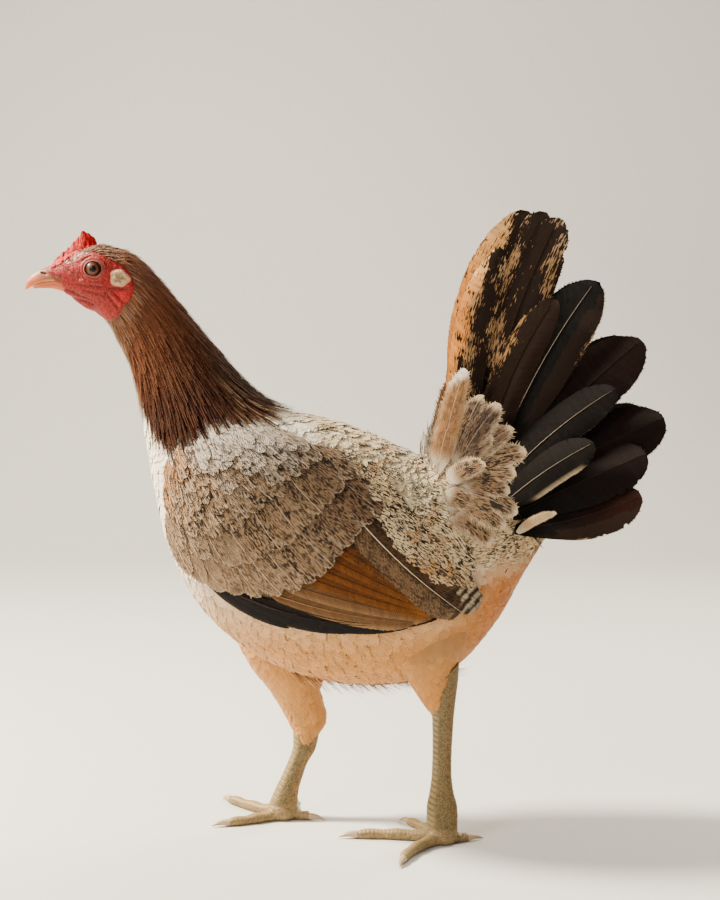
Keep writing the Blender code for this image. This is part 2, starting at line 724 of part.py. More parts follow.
def eyeball(name, side, grow=0.0):
    centre = (EYE[0], side * (head_surface(*EYE) - EYE_SINK), EYE[1])
    return ellipsoid(name, centre, [EYE_RADIUS + grow] * 3, 12, 8)


def wattle(name, side):
    """The short fold of bare skin along the lower jaw."""
    points, radii = [], []
    for s in np.linspace(0.0, 2.0, 6):
        x, z = spline(WATTLE, s)
        points.append(np.array([x, side * head_surface(x, z) * WATTLE_INSET, z]))
        radii.append(float(spline(WATTLE_RADII, s)))
    return tube(name, points, radii, 6, 0.0)


def ear_fold(name, side):
    """The red fold of skin under the pale ear lobe."""
    x, z = EAR_FOLD
    y = head_surface(x, z) - EAR_FOLD_SINK
    return ellipsoid(name, (x, side * y, z), EAR_FOLD_RADII, 10, 7, EAR_FOLD_TILT)


def head():
    pieces = [head_shell("head")]
    for side in SIDES:
        pieces += [lid("lid", side), wattle("wattle", side), ear_fold("ear_fold", side)]
    node = fuse("head", pieces)
    return cut(node, *[eyeball("socket", side, GAP) for side in SIDES])


def ear_lobe(side):
    x, z = LOBE
    y = head_surface(x, z) - LOBE_SINK
    node = ellipsoid(f"ear_lobe_{SIDES[side]}", (x, side * y, z), LOBE_RADII, 12, 8, LOBE_TILT)
    return cut(node, head_shell("head_cutter", GAP))


def comb():
    rings = []
    for i, (x, top) in enumerate(COMB):
        base = crown(x) - COMB_SINK
        end = 0.45 if i in (0, len(COMB) - 1) else 1.0
        middle = base + (top - base) * 0.6
        half = COMB_TOP + (COMB_BASE - COMB_TOP) * 0.55
        rings.append(np.array([
            (x, COMB_BASE * end, base), (x, half * end, middle), (x, COMB_TOP * end, top),
            (x, -COMB_TOP * end, top), (x, -half * end, middle), (x, -COMB_BASE * end, base),
        ]))
    return cut(loft("comb", rings), head_shell("head_cutter", GAP))


def bill(name, table, first, pivot):
    """One half of the bill: an arch over a flat edge."""
    angles = [first + math.pi * k / 8 for k in range(9)]
    rings = []
    count = 9
    for i in range(count):
        row = spline(table, (len(table) - 1) * i / (count - 1))
        upper, lower = row[0:2], row[2:4]
        if pivot == "lower":
            section = np.array([*upper, *(2 * lower - upper), row[4]])
        else:
            section = np.array([*(2 * upper - lower), *lower, row[4]])
        points = np.array([section_point(section, a, power=1.9) for a in angles])
        if i == 0:
            points -= section_axis(section) * GAP / 2
        rings.append(points)
    return loft(name, rings)


def bill_upper():
    node = bill("bill_upper", BILL_UPPER, 0.0, "lower")
    holes = []
    for side in SIDES:
        place = (NOSTRIL[0], side * NOSTRIL_Y, NOSTRIL[1])
        holes.append(ellipsoid("nostril", place, NOSTRIL_RADII, 10, 6, NOSTRIL_TILT))
    return cut(node, *holes)


HACKLE_ROW = 11  # locks round the neck
HACKLE_TIERS = 4
HACKLE_LENGTH = 2.8  # sections of the trunk that a lock covers
HACKLE_FIRST = 8.4  # where the first row ends
HACKLE_SINK, HACKLE_TIP = 4.6, 0.6  # how deep a lock's root lies, and how far its tip stands out
HACKLE_WIDTH = 0.96  # of the share of its row
CAPE_TURN = (-1.0, -0.7, 0.0, 0.6, 1.0)  # sine of the angle round the trunk
CAPE_END = (10.5, 11.7, 12.3, 12.9, 12.6)  # where the lowest locks end there


def neck_depth(t):
    """How far the neck's core lies inside the coat."""
    edge = min(t - HEAD_END, NECK_END - t)
    return -HACKLE_DEPTH * min(1.0, max(0.0, edge / 1.2))


def hackle_lock(tier, k):
    angle = 2 * math.pi * (k + 0.5 * (tier % 2)) / HACKLE_ROW
    end = float(np.interp(math.sin(angle), CAPE_TURN, CAPE_END))
    tip = HACKLE_FIRST + (end - HACKLE_FIRST) * tier / (HACKLE_TIERS - 1)
    root = tip - HACKLE_LENGTH
    middle = trunk_section(max(root, 6.8) * 0.4 + tip * 0.6)
    girth = math.pi * (middle[4] + np.linalg.norm(middle[0:2] - middle[2:4]) / 2)

    def place(f, a, lift):
        t = max(root, HEAD_END + 0.05) + (tip - max(root, HEAD_END + 0.05)) * f
        turn = angle + a / girth * 2 * math.pi
        swell = -HACKLE_SINK + (HACKLE_SINK + HACKLE_TIP) * f**0.85
        if t > NECK_END:
            swell = max(swell, HACKLE_TIP)
        return section_point(trunk_section(t), turn, swell + lift, TRUNK_POWER, TRUNK_LEAN)

    return vane("lock", place, girth / HACKLE_ROW * HACKLE_WIDTH, POINTED, 0.9)


def neck():
    core = trunk_piece("neck", HEAD_END, NECK_END, 8, sides=14, grow=neck_depth)
    locks = [hackle_lock(tier, k) for tier in range(HACKLE_TIERS) for k in range(HACKLE_ROW)]
    node = fuse("neck", [core] + locks, solver="MANIFOLD")
    return cut(node, torso_body("torso_cutter", GAP), head_shell("head_cutter", GAP))


# Wing feathers of one side: name, tips (x, z) from the first to the last feather of the row,
# length, fall of the shaft in degrees, width, how fast a feather rises towards its lower edge,
# the lifts of root and tip off the wing's body, and how many.
WING_ROWS = (
    ("primary", ((50.0, 142.5), (14.0, 140.5)), 112.0, -12.0, 12.0, 0.2, (-0.7, 0.3), 2),
    ("secondary", ((91.0, 165.0), (88.0, 159.0), (76.0, 154.5), (60.0, 150.5), (42.0, 147.5), (22.0, 146.0)),
     92.0, -24.0, 18.0, 0.15, (-0.8, 1.2), 5),
    ("greater", ((20.0, 221.0), (7.0, 210.0), (-4.0, 196.0), (-16.0, 184.0), (-31.0, 174.0), (-53.0, 171.5),
                 (-74.0, 176.5)), 40.0, -47.0, 23.0, 0.07, (-1.0, 2.4), 6),
    ("median", ((2.0, 238.0), (-13.0, 224.0), (-27.0, 210.0), (-42.0, 198.0), (-60.0, 191.0), (-80.0, 194.0)),
     32.0, -50.0, 25.0, 0.07, (-1.0, 2.2), 5),
    ("lesser", ((-22.0, 246.0), (-38.0, 235.0), (-53.0, 222.0), (-68.0, 211.0), (-83.0, 205.0)),
     28.0, -52.0, 25.0, 0.07, (-1.0, 2.0), 4),
)


def wing_feather(side, row, k):
    kind, tips, length, fall, width, rise, lifts, count = row
    tip = spline(tips, k / (count - 1) * (len(tips) - 1))
    way = math.radians(fall)
    run = np.array([math.cos(way), math.sin(way)])
    root = tip - run * length
    across = np.array([run[1], -run[0]])

    def place(f, a, lift):
        x, z = root + (tip - root) * f + across * (a + 0.03 * length * 4 * f * (1 - f))
        off = wing_lift(x, z) + lifts[0] + (lifts[1] - lifts[0]) * f + rise * a + lift
        return side_point(x, z, max(off, 0.5 + lift), side)

    return vane(kind, place, width, SHORT, 0.6)


def wing(side):
    pieces = [wing_core(f"wing_{SIDES[side]}", side)]
    for row in WING_ROWS:
        pieces += [wing_feather(side, row, k) for k in range(row[-1])]
    node = fuse(f"wing_{SIDES[side]}", pieces)
    return cut(node, torso_body("torso_cutter", GAP))


def leg(side):
    """Thigh, shank and toes of one side, each clear of the one it grows from."""
    name = SIDES[side]
    upper = cut(thigh(f"thigh_{name}", LEGS[side]["thigh"], 9, side), torso_body("torso_cutter", GAP))
    lower = fuse(f"shank_{name}", [shank("shank", side), foot_ball("ball", side)])
    made = [upper, lower]
    for toe in LEGS[side]["toes"]:
        node, claw = toe_and_claw(side, toe)
        cut(node, foot_ball("ball_cutter", side, GAP), shank("shank_cutter", side, GAP))
        made += [node, claw]
    return made


def build():
    clear_scene()
    looks = [(head(), "face"), (comb(), "comb"), (bill_upper(), "bill")]
    looks.append((bill("bill_lower", BILL_LOWER, math.pi, "upper"), "bill"))
    looks += [(torso_body("torso"), "body"), (neck(), "hackle")]
    for side, name in SIDES.items():
        looks.append((eyeball(f"eye_{name}", side), "eye"))
        looks += [(ear_lobe(side), "lobe"), (wing(side), "wing"), (tail(side), "tail")]
        for node in leg(side):
            look = "body" if "thigh" in node.name else "claw" if "claw" in node.name else "leg"
            looks.append((node, look))
    for node, look in looks:
        finish(node, look)


build()
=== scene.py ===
"""Looks of a life-size hatch gamefowl hen: skin, plumage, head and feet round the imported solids.

She faces -X with her left side towards -Y. Numbers here are millimetres, and become metres
where a mesh is made.
"""

import itertools
import math

import bpy
import numpy as np
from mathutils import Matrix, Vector, noise


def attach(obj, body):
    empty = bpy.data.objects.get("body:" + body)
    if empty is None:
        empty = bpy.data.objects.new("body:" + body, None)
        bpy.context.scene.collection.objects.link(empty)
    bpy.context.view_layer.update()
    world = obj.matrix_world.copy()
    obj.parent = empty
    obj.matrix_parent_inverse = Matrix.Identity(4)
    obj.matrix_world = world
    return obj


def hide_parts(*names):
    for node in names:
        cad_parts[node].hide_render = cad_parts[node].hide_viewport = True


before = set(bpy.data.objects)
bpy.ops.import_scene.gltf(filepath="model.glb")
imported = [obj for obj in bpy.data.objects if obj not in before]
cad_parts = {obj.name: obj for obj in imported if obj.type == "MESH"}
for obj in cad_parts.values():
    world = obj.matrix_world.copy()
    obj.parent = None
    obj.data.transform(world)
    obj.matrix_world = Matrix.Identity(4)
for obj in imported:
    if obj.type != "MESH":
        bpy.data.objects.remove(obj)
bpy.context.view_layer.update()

MM = 0.001
LEFT, RIGHT = -1, 1
SIDES = {LEFT: "left", RIGHT: "right"}
DRAW = np.random.default_rng(11)

# Sections of the trunk as the solids have them: upper point, lower point, half width.
TRUNK = np.array((
    (-199.0, 379.0, -185.7, 362.7, 6.3), (-192.3, 382.0, -179.7, 358.7, 8.6),
    (-183.0, 387.3, -172.3, 353.7, 11.3), (-173.0, 391.7, -165.0, 348.7, 13.6),
    (-162.3, 394.7, -159.0, 343.3, 15.2), (-151.0, 392.0, -155.0, 337.3, 15.6),
    (-139.0, 386.3, -151.0, 329.3, 15.8), (-126.3, 374.0, -147.3, 322.7, 16.2),
    (-113.0, 358.0, -144.0, 314.7, 17.5), (-99.7, 341.3, -140.7, 303.3, 20.5),
    (-85.0, 323.3, -138.0, 290.0, 25.5), (-69.0, 304.0, -135.3, 274.7, 32.0),
    (-53.0, 290.7, -132.7, 258.0, 40.0), (-36.3, 284.3, -127.7, 231.3, 48.0),
    (-17.7, 280.7, -118.3, 192.7, 53.0), (2.3, 275.3, -95.7, 150.7, 55.0),
    (21.0, 268.0, -56.3, 118.0, 55.0), (37.7, 260.0, -11.0, 102.7, 53.0),
    (51.5, 255.0, 35.7, 101.3, 48.5), (61.0, 258.0, 72.3, 112.7, 41.5),
    (71.0, 258.0, 99.0, 141.3, 33.0), (81.5, 254.0, 117.0, 172.7, 24.0),
    (92.0, 246.0, 129.0, 192.7, 15.0),
))
TRUNK_POWER, TRUNK_LEAN = 2.25, 0.07  # how square a section is, and how much wider at its top
TRUNK_END = 22.0  # index of the last section
COAT_DEPTH = 3.2  # from the skin to the tips of the body's feathers
EYE, EYE_RADIUS, EYE_SINK = (-165.2, 377.6), 5.7, 3.4
LOBE = (-147.9, 371.1)

# Each feather has a patch of this size in the UV map, at its root's place in these ranges of
# the chart it grows on.
TUFT = 0.003
TRUNK_PATCH = (10.0, 23.0, -0.3, 6.6)
WING_PATCH = (-110.0, 100.0, 135.0, 270.0)
ALL_ROUND = (0.0, 2 * math.pi)
SEEDS = 97.0  # a feather's own place in the noise of its material lies below this

# Linear colours, before they are deepened
WHITE = (0.86, 0.80, 0.69)
SALMON = (0.52, 0.265, 0.070)
UMBER = (0.014, 0.005, 0.003)
CINNAMON = (0.135, 0.056, 0.012)
SAND = (0.125, 0.072, 0.034)
BLACK = (0.007, 0.006, 0.006)
JET = (0.0045, 0.0040, 0.0040)
# The body
BACK_CREAM = (0.82, 0.70, 0.48)
BACK_RUST = (0.50, 0.27, 0.10)
REAR_SAND = (0.70, 0.52, 0.31)
BREAST_RUST = (0.50, 0.25, 0.09)
FLANK_ORANGE = (0.43, 0.170, 0.029)
VENT_BROWN = (0.30, 0.12, 0.035)
FRINGE_DARK = (0.34, 0.17, 0.065)
FRINGE_PALE = (0.60, 0.36, 0.15)
THIGH_LOW = (0.56, 0.305, 0.105)
THIGH_HIGH = (0.60, 0.345, 0.130)
THIGH_REAR = (0.44, 0.190, 0.042)
# The face, comb and skin
NECK_SKIN = (0.07, 0.028, 0.014)
HEAD_SKIN = (0.10, 0.05, 0.03)
FACE_DUSK = (0.155, 0.014, 0.011)
EYE_RING = (0.20, 0.05, 0.045)
BROW_PINK = (0.22, 0.08, 0.07)
CHEEK_RED = (0.50, 0.030, 0.022)
CREASE_SHADE_RED = (0.085, 0.012, 0.012)
GAPE_SHADE_BROWN = (0.125, 0.060, 0.036)
GAPE_ORANGE = (0.42, 0.125, 0.035)
PORE_PINK = (0.60, 0.16, 0.12)
COMB_PIT_SHADE = (0.22, 0.001, 0.003)
LOBE_CREAM = (0.62, 0.45, 0.29)
LOBE_CENTRE_AND_DIP_SHADE = (0.25, 0.17, 0.085)
LOBE_RED = (0.52, 0.13, 0.09)
IRIS_DARK = (0.056, 0.022, 0.011)
IRIS_PALE = (0.105, 0.046, 0.024)
IRIS_RIM = (0.06, 0.018, 0.008)
PUPIL = (0.001, 0.001, 0.001)
EYE_EDGE_SHADE = (0.03, 0.018, 0.014)
LID_MARGIN_AND_SHADE = (0.055, 0.022, 0.018)
LID_RING = (0.34, 0.12, 0.10)
BILL_ORANGE = (0.42, 0.095, 0.010)
BILL_TIP = (0.60, 0.245, 0.050)
BILL_RIDGE_HIGHLIGHT = (0.52, 0.20, 0.06)
CERE_BROWN = (0.150, 0.068, 0.036)
NOSTRIL_SHADE = (0.10, 0.035, 0.02)
BILL_EDGE = (0.66, 0.36, 0.12)
# The neck and head feathers
MAHOGANY_HIGH = (0.175, 0.084, 0.058)
MAHOGANY = (0.152, 0.064, 0.036)
MAHOGANY_LOW = (0.015, 0.0034, 0.0012)
HACKLE_EDGE = (0.32, 0.165, 0.090)
HACKLE_EDGE_LOW = (0.115, 0.028, 0.008)
THROAT_BUFF = (0.58, 0.38, 0.22)
CHEEK_BROWN = (0.20, 0.092, 0.042)
NAPE_PALE = (0.46, 0.33, 0.22)
CROWN_DARK = (0.090, 0.032, 0.016)
CROWN_PALE = (0.26, 0.14, 0.070)
CROWN_LOW = (0.18, 0.085, 0.040)
CHIN_BUFF = (0.66, 0.50, 0.34)
BRISTLE_DARK = (0.016, 0.011, 0.010)
BRISTLE_WHITE = (0.80, 0.74, 0.66)
# The wing
COVERT_GREY = (0.255, 0.180, 0.115)
SHOULDER_WHITE = (0.42, 0.385, 0.34)
COVERT_CORE = (0.10, 0.056, 0.030)
COVERT_RUST = (0.40, 0.20, 0.080)
COVERT_PALE = (0.32, 0.230, 0.148)
COVERT_EDGE = (0.50, 0.42, 0.32)
SADDLE_CREAM = (0.68, 0.55, 0.37)
SADDLE_RUST = (0.44, 0.24, 0.095)
PRIMARY_EDGE = (0.17, 0.105, 0.062)
SAND_EDGE = (0.27, 0.175, 0.098)
SAND_LINE = (0.05, 0.028, 0.015)
CINNAMON_DARK = (0.066, 0.028, 0.009)
CINNAMON_EDGE = (0.22, 0.105, 0.030)
TERTIAL_DARK = (0.066, 0.040, 0.023)
TERTIAL_PALE = (0.152, 0.102, 0.060)
TERTIAL_EDGE = (0.30, 0.21, 0.13)
BAR_PALE = (0.46, 0.39, 0.30)
BAR_DARK = (0.034, 0.020, 0.012)
PAD_BROWN = (0.16, 0.10, 0.06)
# The tail
TAIL_BROWN = (0.34, 0.225, 0.125)
TAIL_TIP = (0.44, 0.33, 0.22)
TAIL_GOLD = (0.66, 0.32, 0.105)
TAIL_GOLD_TIP = (0.70, 0.46, 0.23)
TAIL_REAR = (0.34, 0.23, 0.13)
TAIL_DUSKY = (0.018, 0.010, 0.007)
TAIL_SAND = (0.34, 0.22, 0.105)
TAIL_RIM = (0.50, 0.41, 0.30)
SHAFT_PALE = (0.30, 0.26, 0.21)
SHAFT_DARK = (0.022, 0.014, 0.010)
SMALL_MARGIN = (0.64, 0.52, 0.37)
SMALL_SHADOW = (0.13, 0.08, 0.045)
SMALL_ROOT = (0.72, 0.64, 0.52)
SMALL_TIP = (0.76, 0.69, 0.57)
# The legs
SHANK_GREEN = (0.190, 0.142, 0.058)
TOE_SAND = (0.32, 0.245, 0.125)
SHANK_REAR = (0.40, 0.23, 0.07)
SHANK_GAP = (0.085, 0.062, 0.030)
TOE_GAP = (0.17, 0.12, 0.06)
CLAW_PALE = (0.46, 0.36, 0.25)
CLAW_TIP = (0.20, 0.14, 0.09)
FACE_RED = (0.235, 0.011, 0.010)
COMB_RED = (0.40, 0.0010, 0.005)

RICHNESS = 0.32  # how much the colours are deepened


def unit(vectors):
    return vectors / np.maximum(np.linalg.norm(vectors, axis=-1, keepdims=True), 1e-9)


def smooth(x, low, high):
    """0 below low and 1 above high, with a soft step between."""
    f = np.clip((np.asarray(x, float) - low) / (high - low), 0.0, 1.0)
    return f * f * (3 - 2 * f)


def blend(a, b, f):
    f = np.asarray(f)[..., None]
    return np.asarray(a) * (1 - f) + np.asarray(b) * f


def spline(table, t):
    """Rows of a table at fractional indices, on a smooth curve, and straight on past its ends."""
    table = np.asarray(table, float)
    last = len(table) - 1
    t = np.asarray(t, float)
    inside = np.clip(t, 0, last)
    i = np.minimum(inside.astype(int), last - 1)
    f = (inside - i)[..., None]
    padded = np.vstack([2 * table[0] - table[1], table, 2 * table[-1] - table[-2]])
    a, b, c, d = (padded[i + k] for k in range(4))
    rows = 0.5 * (2 * b + (c - a) * f + (2 * a - 5 * b + 4 * c - d) * f**2 + (3 * b - a - 3 * c + d) * f**3)
    rows = rows + np.maximum(t - last, 0)[..., None] * (table[-1] - table[-2])
    return rows + np.minimum(t, 0)[..., None] * (table[1] - table[0])


def section_points(rows, angle, power, lean=0.0, centre_y=0.0):
    """Points of sections given by upper point, lower point and half width."""
    centre = (rows[..., 0:2] + rows[..., 2:4]) / 2
    arm = (rows[..., 0:2] - rows[..., 2:4]) / 2
    c, s = np.cos(angle), np.sin(angle)
    reach = (np.abs(c) ** power + np.abs(s) ** power) ** (-1 / power)
    rise = reach * s
    xz = centre + arm * rise[..., None]
    y = centre_y + reach * c * np.maximum(rows[..., 4], 2.0) * (1 + lean * rise)
    return np.stack([xz[..., 0], y, xz[..., 1]], axis=-1)


def noise_at(points, size, seed=0.0):
    """Smooth noise from -1 to 1, with features of the given size."""
    points = np.asarray(points, float)
    flat = points.reshape(-1, 3) / size + seed
    values = np.array([noise.noise(Vector(p)) for p in flat])
    return values.reshape(points.shape[:-1])


class Chart:
    """A surface over two parameters, with the steps that measure its slopes.

    The sign turns its normals outwards, and the hand is -1 where across runs the other way.
    """

    def __init__(self, at, steps, sign):
        self.at, self.steps, self.sign, self.hand = at, steps, sign, 1

    def slopes(self, u, v):
        a, b = self.steps
        du = (self.at(u + a, v) - self.at(u - a, v)) / (2 * a)
        dv = (self.at(u, v + b) - self.at(u, v - b)) / (2 * b)
        return du, dv, unit(np.cross(du, dv)) * self.sign

    def raised(self, u, v, lift):
        return self.at(u, v) + self.slopes(u, v)[2] * np.asarray(lift)[..., None]


def trunk_at(t, angle):
    """Points of the trunk's surface; the angle is 0 on its right and a quarter turn on top."""
    return section_points(spline(TRUNK, t), angle, TRUNK_POWER, TRUNK_LEAN)


TRUNK_CHART = Chart(trunk_at, (0.03, 0.02), -1)


def side_grid(x_range, z_range, step, t_range):
    """How far the trunk's side stands out over a grid of the side view."""
    ts = np.linspace(*t_range, 561)
    rows = spline(TRUNK, ts)
    centre = (rows[:, 0:2] + rows[:, 2:4]) / 2
    arm = unit(rows[:, 0:2] - rows[:, 2:4])
    xs, zs = np.arange(*x_range, step), np.arange(*z_range, step)
    x, z = np.meshgrid(xs, zs, indexing="ij")
    ahead = (x[..., None] - centre[:, 0]) * arm[:, 1] - (z[..., None] - centre[:, 1]) * arm[:, 0]
    i = np.clip(np.argmax(ahead < 0, axis=-1), 1, len(ts) - 1)
    before = np.take_along_axis(ahead, i[..., None] - 1, -1)[..., 0]
    after = np.take_along_axis(ahead, i[..., None], -1)[..., 0]
    f = np.clip(before / np.where(before == after, 1, before - after), 0, 1)
    at = spline(TRUNK, ts[i - 1] + f * (ts[i] - ts[i - 1]))
    middle = (at[..., 0:2] + at[..., 2:4]) / 2
    half = (at[..., 0:2] - at[..., 2:4]) / 2
    offset = np.stack([x, z], axis=-1) - middle
    rise = np.clip((offset * half).sum(-1) / (half * half).sum(-1), -0.95, 0.95)
    depth = at[..., 4] * (1 - np.abs(rise) ** TRUNK_POWER) ** (1 / TRUNK_POWER) * (1 + TRUNK_LEAN * rise)
    for _ in range(6):
        inner = depth[:-2, 1:-1] + depth[2:, 1:-1] + depth[1:-1, :-2] + depth[1:-1, 2:]
        depth[1:-1, 1:-1] = (depth[1:-1, 1:-1] * 2 + inner) / 6
    return xs[0], zs[0], step, depth


def side_depth(grid, x, z):
    """The trunk's half width at points of the side view."""
    x0, z0, step, depth = grid
    i, j = (np.asarray(x) - x0) / step, (np.asarray(z) - z0) / step
    i, j = np.clip(i, 0, depth.shape[0] - 1.001), np.clip(j, 0, depth.shape[1] - 1.001)
    a, b = i.astype(int), j.astype(int)
    f, g = i - a, j - b
    near = depth[a, b] * (1 - f) + depth[a + 1, b] * f
    far = depth[a, b + 1] * (1 - f) + depth[a + 1, b + 1] * f
    return near * (1 - g) + far * g


BODY_GRID = side_grid((-130.0, 140.0), (110.0, 300.0), 1.0, (8.0, TRUNK_END))
HEAD_GRID = side_grid((-215.0, -125.0), (325.0, 410.0), 0.5, (0.0, 8.0))


def side_chart(grid, side, lift=None):
    """The trunk's side over the side view, raised by a lift that may change over it."""

    def flat(x, z):
        return np.stack([x, side * side_depth(grid, x, z), z], axis=-1)

    base = Chart(flat, (3.0, 3.0) if lift else (0.7, 0.7), -side)
    if lift is None:
        return base
    return Chart(lambda x, z: base.raised(x, z, lift(x, z)), (2.0, 2.0), -side)


def make_object(name, points, faces, look, nodes, tint, form=None, uv=None):
    """A mesh piece that rides on the body and stands for the nodes named."""
    mesh = bpy.data.meshes.new(name)
    loops = np.concatenate([f.ravel() for f in faces])
    sizes = np.concatenate([np.full(len(f), f.shape[1]) for f in faces])
    starts = np.concatenate([[0], np.cumsum(sizes)[:-1]])
    mesh.vertices.add(len(points))
    mesh.vertices.foreach_set("co", (np.asarray(points, float) * MM).ravel())
    mesh.loops.add(len(loops))
    mesh.loops.foreach_set("vertex_index", loops.astype(np.int32))
    mesh.polygons.add(len(sizes))
    mesh.polygons.foreach_set("loop_start", starts.astype(np.int32))
    mesh.update(calc_edges=True)
    mesh.attributes.new("tint", "FLOAT_COLOR", "POINT").data.foreach_set("color", deepen(tint).ravel())
    if form is not None:
        mesh.attributes.new("form", "FLOAT_VECTOR", "POINT").data.foreach_set("vector", form.ravel())
    if uv is not None:
        mesh.uv_layers.new(name="OFBake").data.foreach_set("uv", uv[loops].ravel())
    mesh.shade_smooth()
    mesh.materials.append(look)
    piece = bpy.data.objects.new(name, mesh)
    bpy.context.scene.collection.objects.link(piece)
    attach(piece, "root")
    if nodes:
        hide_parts(*nodes)


class Nodes:
    """Short calls for building a material's nodes."""

    def __init__(self, name):
        self.material = bpy.data.materials.new(name)
        self.material.use_nodes = True
        self.tree = self.material.node_tree
        self.shader = self.tree.nodes["Principled BSDF"]

    def link(self, value, socket):
        """Joins a socket to another one, or sets it to a number or a colour."""
        if isinstance(value, bpy.types.NodeSocket):
            self.tree.links.new(value, socket)
        else:
            socket.default_value = (*value, 1.0) if isinstance(value, tuple) else value

    def math(self, operation, a, b=0.0):
        made = self.tree.nodes.new("ShaderNodeMath")
        made.operation = operation
        self.link(a, made.inputs[0])
        self.link(b, made.inputs[1])
        return made.outputs[0]

    def plus(self, a, b):
        return self.math("ADD", a, b)

    def minus(self, a, b):
        return self.math("SUBTRACT", a, b)

    def times(self, a, b):
        return self.math("MULTIPLY", a, b)

    def step(self, value, low, high):
        made = self.tree.nodes.new("ShaderNodeMapRange")
        made.interpolation_type = "SMOOTHSTEP"
        self.link(value, made.inputs[0])
        made.inputs[1].default_value, made.inputs[2].default_value = low, high
        return made.outputs[0]

    def attribute(self, name):
        made = self.tree.nodes.new("ShaderNodeAttribute")
        made.attribute_name = name
        return made.outputs

    def place(self):
        return self.tree.nodes.new("ShaderNodeTexCoord").outputs["Object"]

    def split(self, vector):
        made = self.tree.nodes.new("ShaderNodeSeparateXYZ")
        self.link(vector, made.inputs[0])
        return made.outputs

    def join(self, x, y, z):
        made = self.tree.nodes.new("ShaderNodeCombineXYZ")
        for value, socket in zip((x, y, z), made.inputs):
            self.link(value, socket)
        return made.outputs[0]

    def noise(self, vector, scale, detail):
        made = self.tree.nodes.new("ShaderNodeTexNoise")
        self.link(vector, made.inputs["Vector"])
        made.inputs["Scale"].default_value = scale
        made.inputs["Detail"].default_value = detail
        return made.outputs[0]

    def cells(self, vector, scale):
        made = self.tree.nodes.new("ShaderNodeTexVoronoi")
        self.link(vector, made.inputs["Vector"])
        made.inputs["Scale"].default_value = scale
        return made.outputs["Distance"]

    def mix(self, a, b, factor, kind="MIX"):
        made = self.tree.nodes.new("ShaderNodeMix")
        made.data_type, made.blend_type = "RGBA", kind
        self.link(factor, made.inputs[0])
        for value, socket in ((a, made.inputs[6]), (b, made.inputs[7])):
            self.link(value, socket)
        return made.outputs[2]

    def shaded(self, colour, shade):
        return self.mix(colour, self.join(shade, shade, shade), 1.0, "MULTIPLY")

    def bump(self, height, distance, strength):
        made = self.tree.nodes.new("ShaderNodeBump")
        made.inputs["Strength"].default_value = strength
        made.inputs["Distance"].default_value = distance * MM
        self.link(height, made.inputs["Height"])
        self.tree.links.new(made.outputs[0], self.shader.inputs["Normal"])

    def finish(self, colour, roughness, **values):
        self.link(colour, self.shader.inputs["Base Color"])
        self.link(roughness, self.shader.inputs["Roughness"])
        for key, value in values.items():
            self.shader.inputs[key.replace("_", " ").title().replace("Ior", "IOR")].default_value = value
        return self.material


def plumage(name, fleck=(0.055, 0.032, 0.020), fleck_size=(2.2, 0.8), fleck_level=0.56, fleck_rake=0.35,
            shaft=0.3, pitch=1.5, rake=0.9, relief=0.22, shade=0.14, gloss=0.2, sheen=0.08,
            pale=(0.80, 0.72, 0.58), crowding=0.0):
    """Feather vanes: flecks, the barbs' fine lines and a pale shaft.

    Alpha is how strong the flecks are, or with crowding how much of the vane they cover.
    """
    n = Nodes(name)
    tint, form = n.attribute("tint"), n.attribute("form")
    along, across, seed = n.split(form["Vector"])
    away = n.math("ABSOLUTE", across)
    lean = n.minus(along, n.times(away, fleck_rake))
    spot = n.join(n.times(lean, 1.0 / fleck_size[0]), n.times(across, 1.0 / fleck_size[1]), seed)
    crowd = n.noise(n.join(n.times(along, 0.16), n.times(across, 0.16), seed), 1.0, 1.0)
    dots = n.plus(n.noise(spot, 1.0, 2.0), n.times(n.minus(crowd, 0.5), 0.35))
    dots = n.plus(dots, n.times(n.minus(tint["Alpha"], 0.5), crowding))
    flecks = n.step(dots, fleck_level, fleck_level + 0.05)
    strength = 1.0 if crowding else tint["Alpha"]
    colour = n.mix(tint["Color"], fleck, n.times(flecks, strength))
    slant = n.minus(along, n.times(away, rake))
    wobble = n.noise(n.join(n.times(along, 0.25), n.times(away, 0.25), seed), 1.0, 2.0)
    turn = n.plus(n.times(slant, 2 * math.pi / pitch), n.times(wobble, 9.0))
    wave = n.math("SINE", turn)
    dim = n.plus(n.times(wave, shade), 1.0 - shade * 0.6)
    colour = n.shaded(colour, dim)
    line = n.minus(1.0, n.step(away, 0.06, 0.30))
    own = n.times(n.step(n.noise(n.join(seed, 0.5, 0.5), 1.0, 0.0), 0.35, 0.60), shaft)
    colour = n.mix(colour, pale, n.times(line, own))
    n.bump(wave, relief, 0.6)
    return n.finish(colour, 0.6, sheen_weight=sheen, sheen_roughness=0.5, specular_ior_level=gloss)


def ring_grid(values, sides):
    """Each value with the angles of a ring."""
    return np.meshgrid(values, np.arange(sides) * 2 * math.pi / sides, indexing="ij")


def ring_quads(rows, sides):
    grid = np.arange(rows * sides).reshape(rows, sides)
    turned = np.roll(grid, -1, 1)
    return np.stack([grid[:-1], turned[:-1], turned[1:], grid[1:]], -1).reshape(-1, 4)


def closed_rings(rows, sides):
    """Faces of rings and of both their ends, as tuples."""
    last = (rows - 1) * sides
    ends = [tuple(range(sides)), tuple(range(last + sides - 1, last - 1, -1))]
    return [tuple(q) for q in ring_quads(rows, sides)] + ends


def sheet_quads(rows, columns):
    grid = np.arange(rows * columns).reshape(rows, columns)
    return np.stack([grid[:-1, :-1], grid[:-1, 1:], grid[1:, 1:], grid[1:, :-1]], -1).reshape(-1, 4)


def arch_faces(rows, sides):
    """Faces of a row of arches, shut underneath and at both ends."""
    grid = np.arange(rows * sides).reshape(rows, sides)
    under = np.stack([grid[:-1, -1], grid[:-1, 0], grid[1:, 0], grid[1:, -1]], -1)
    return [np.concatenate([sheet_quads(rows, sides), under]), grid[:1, ::-1], grid[-1:]]


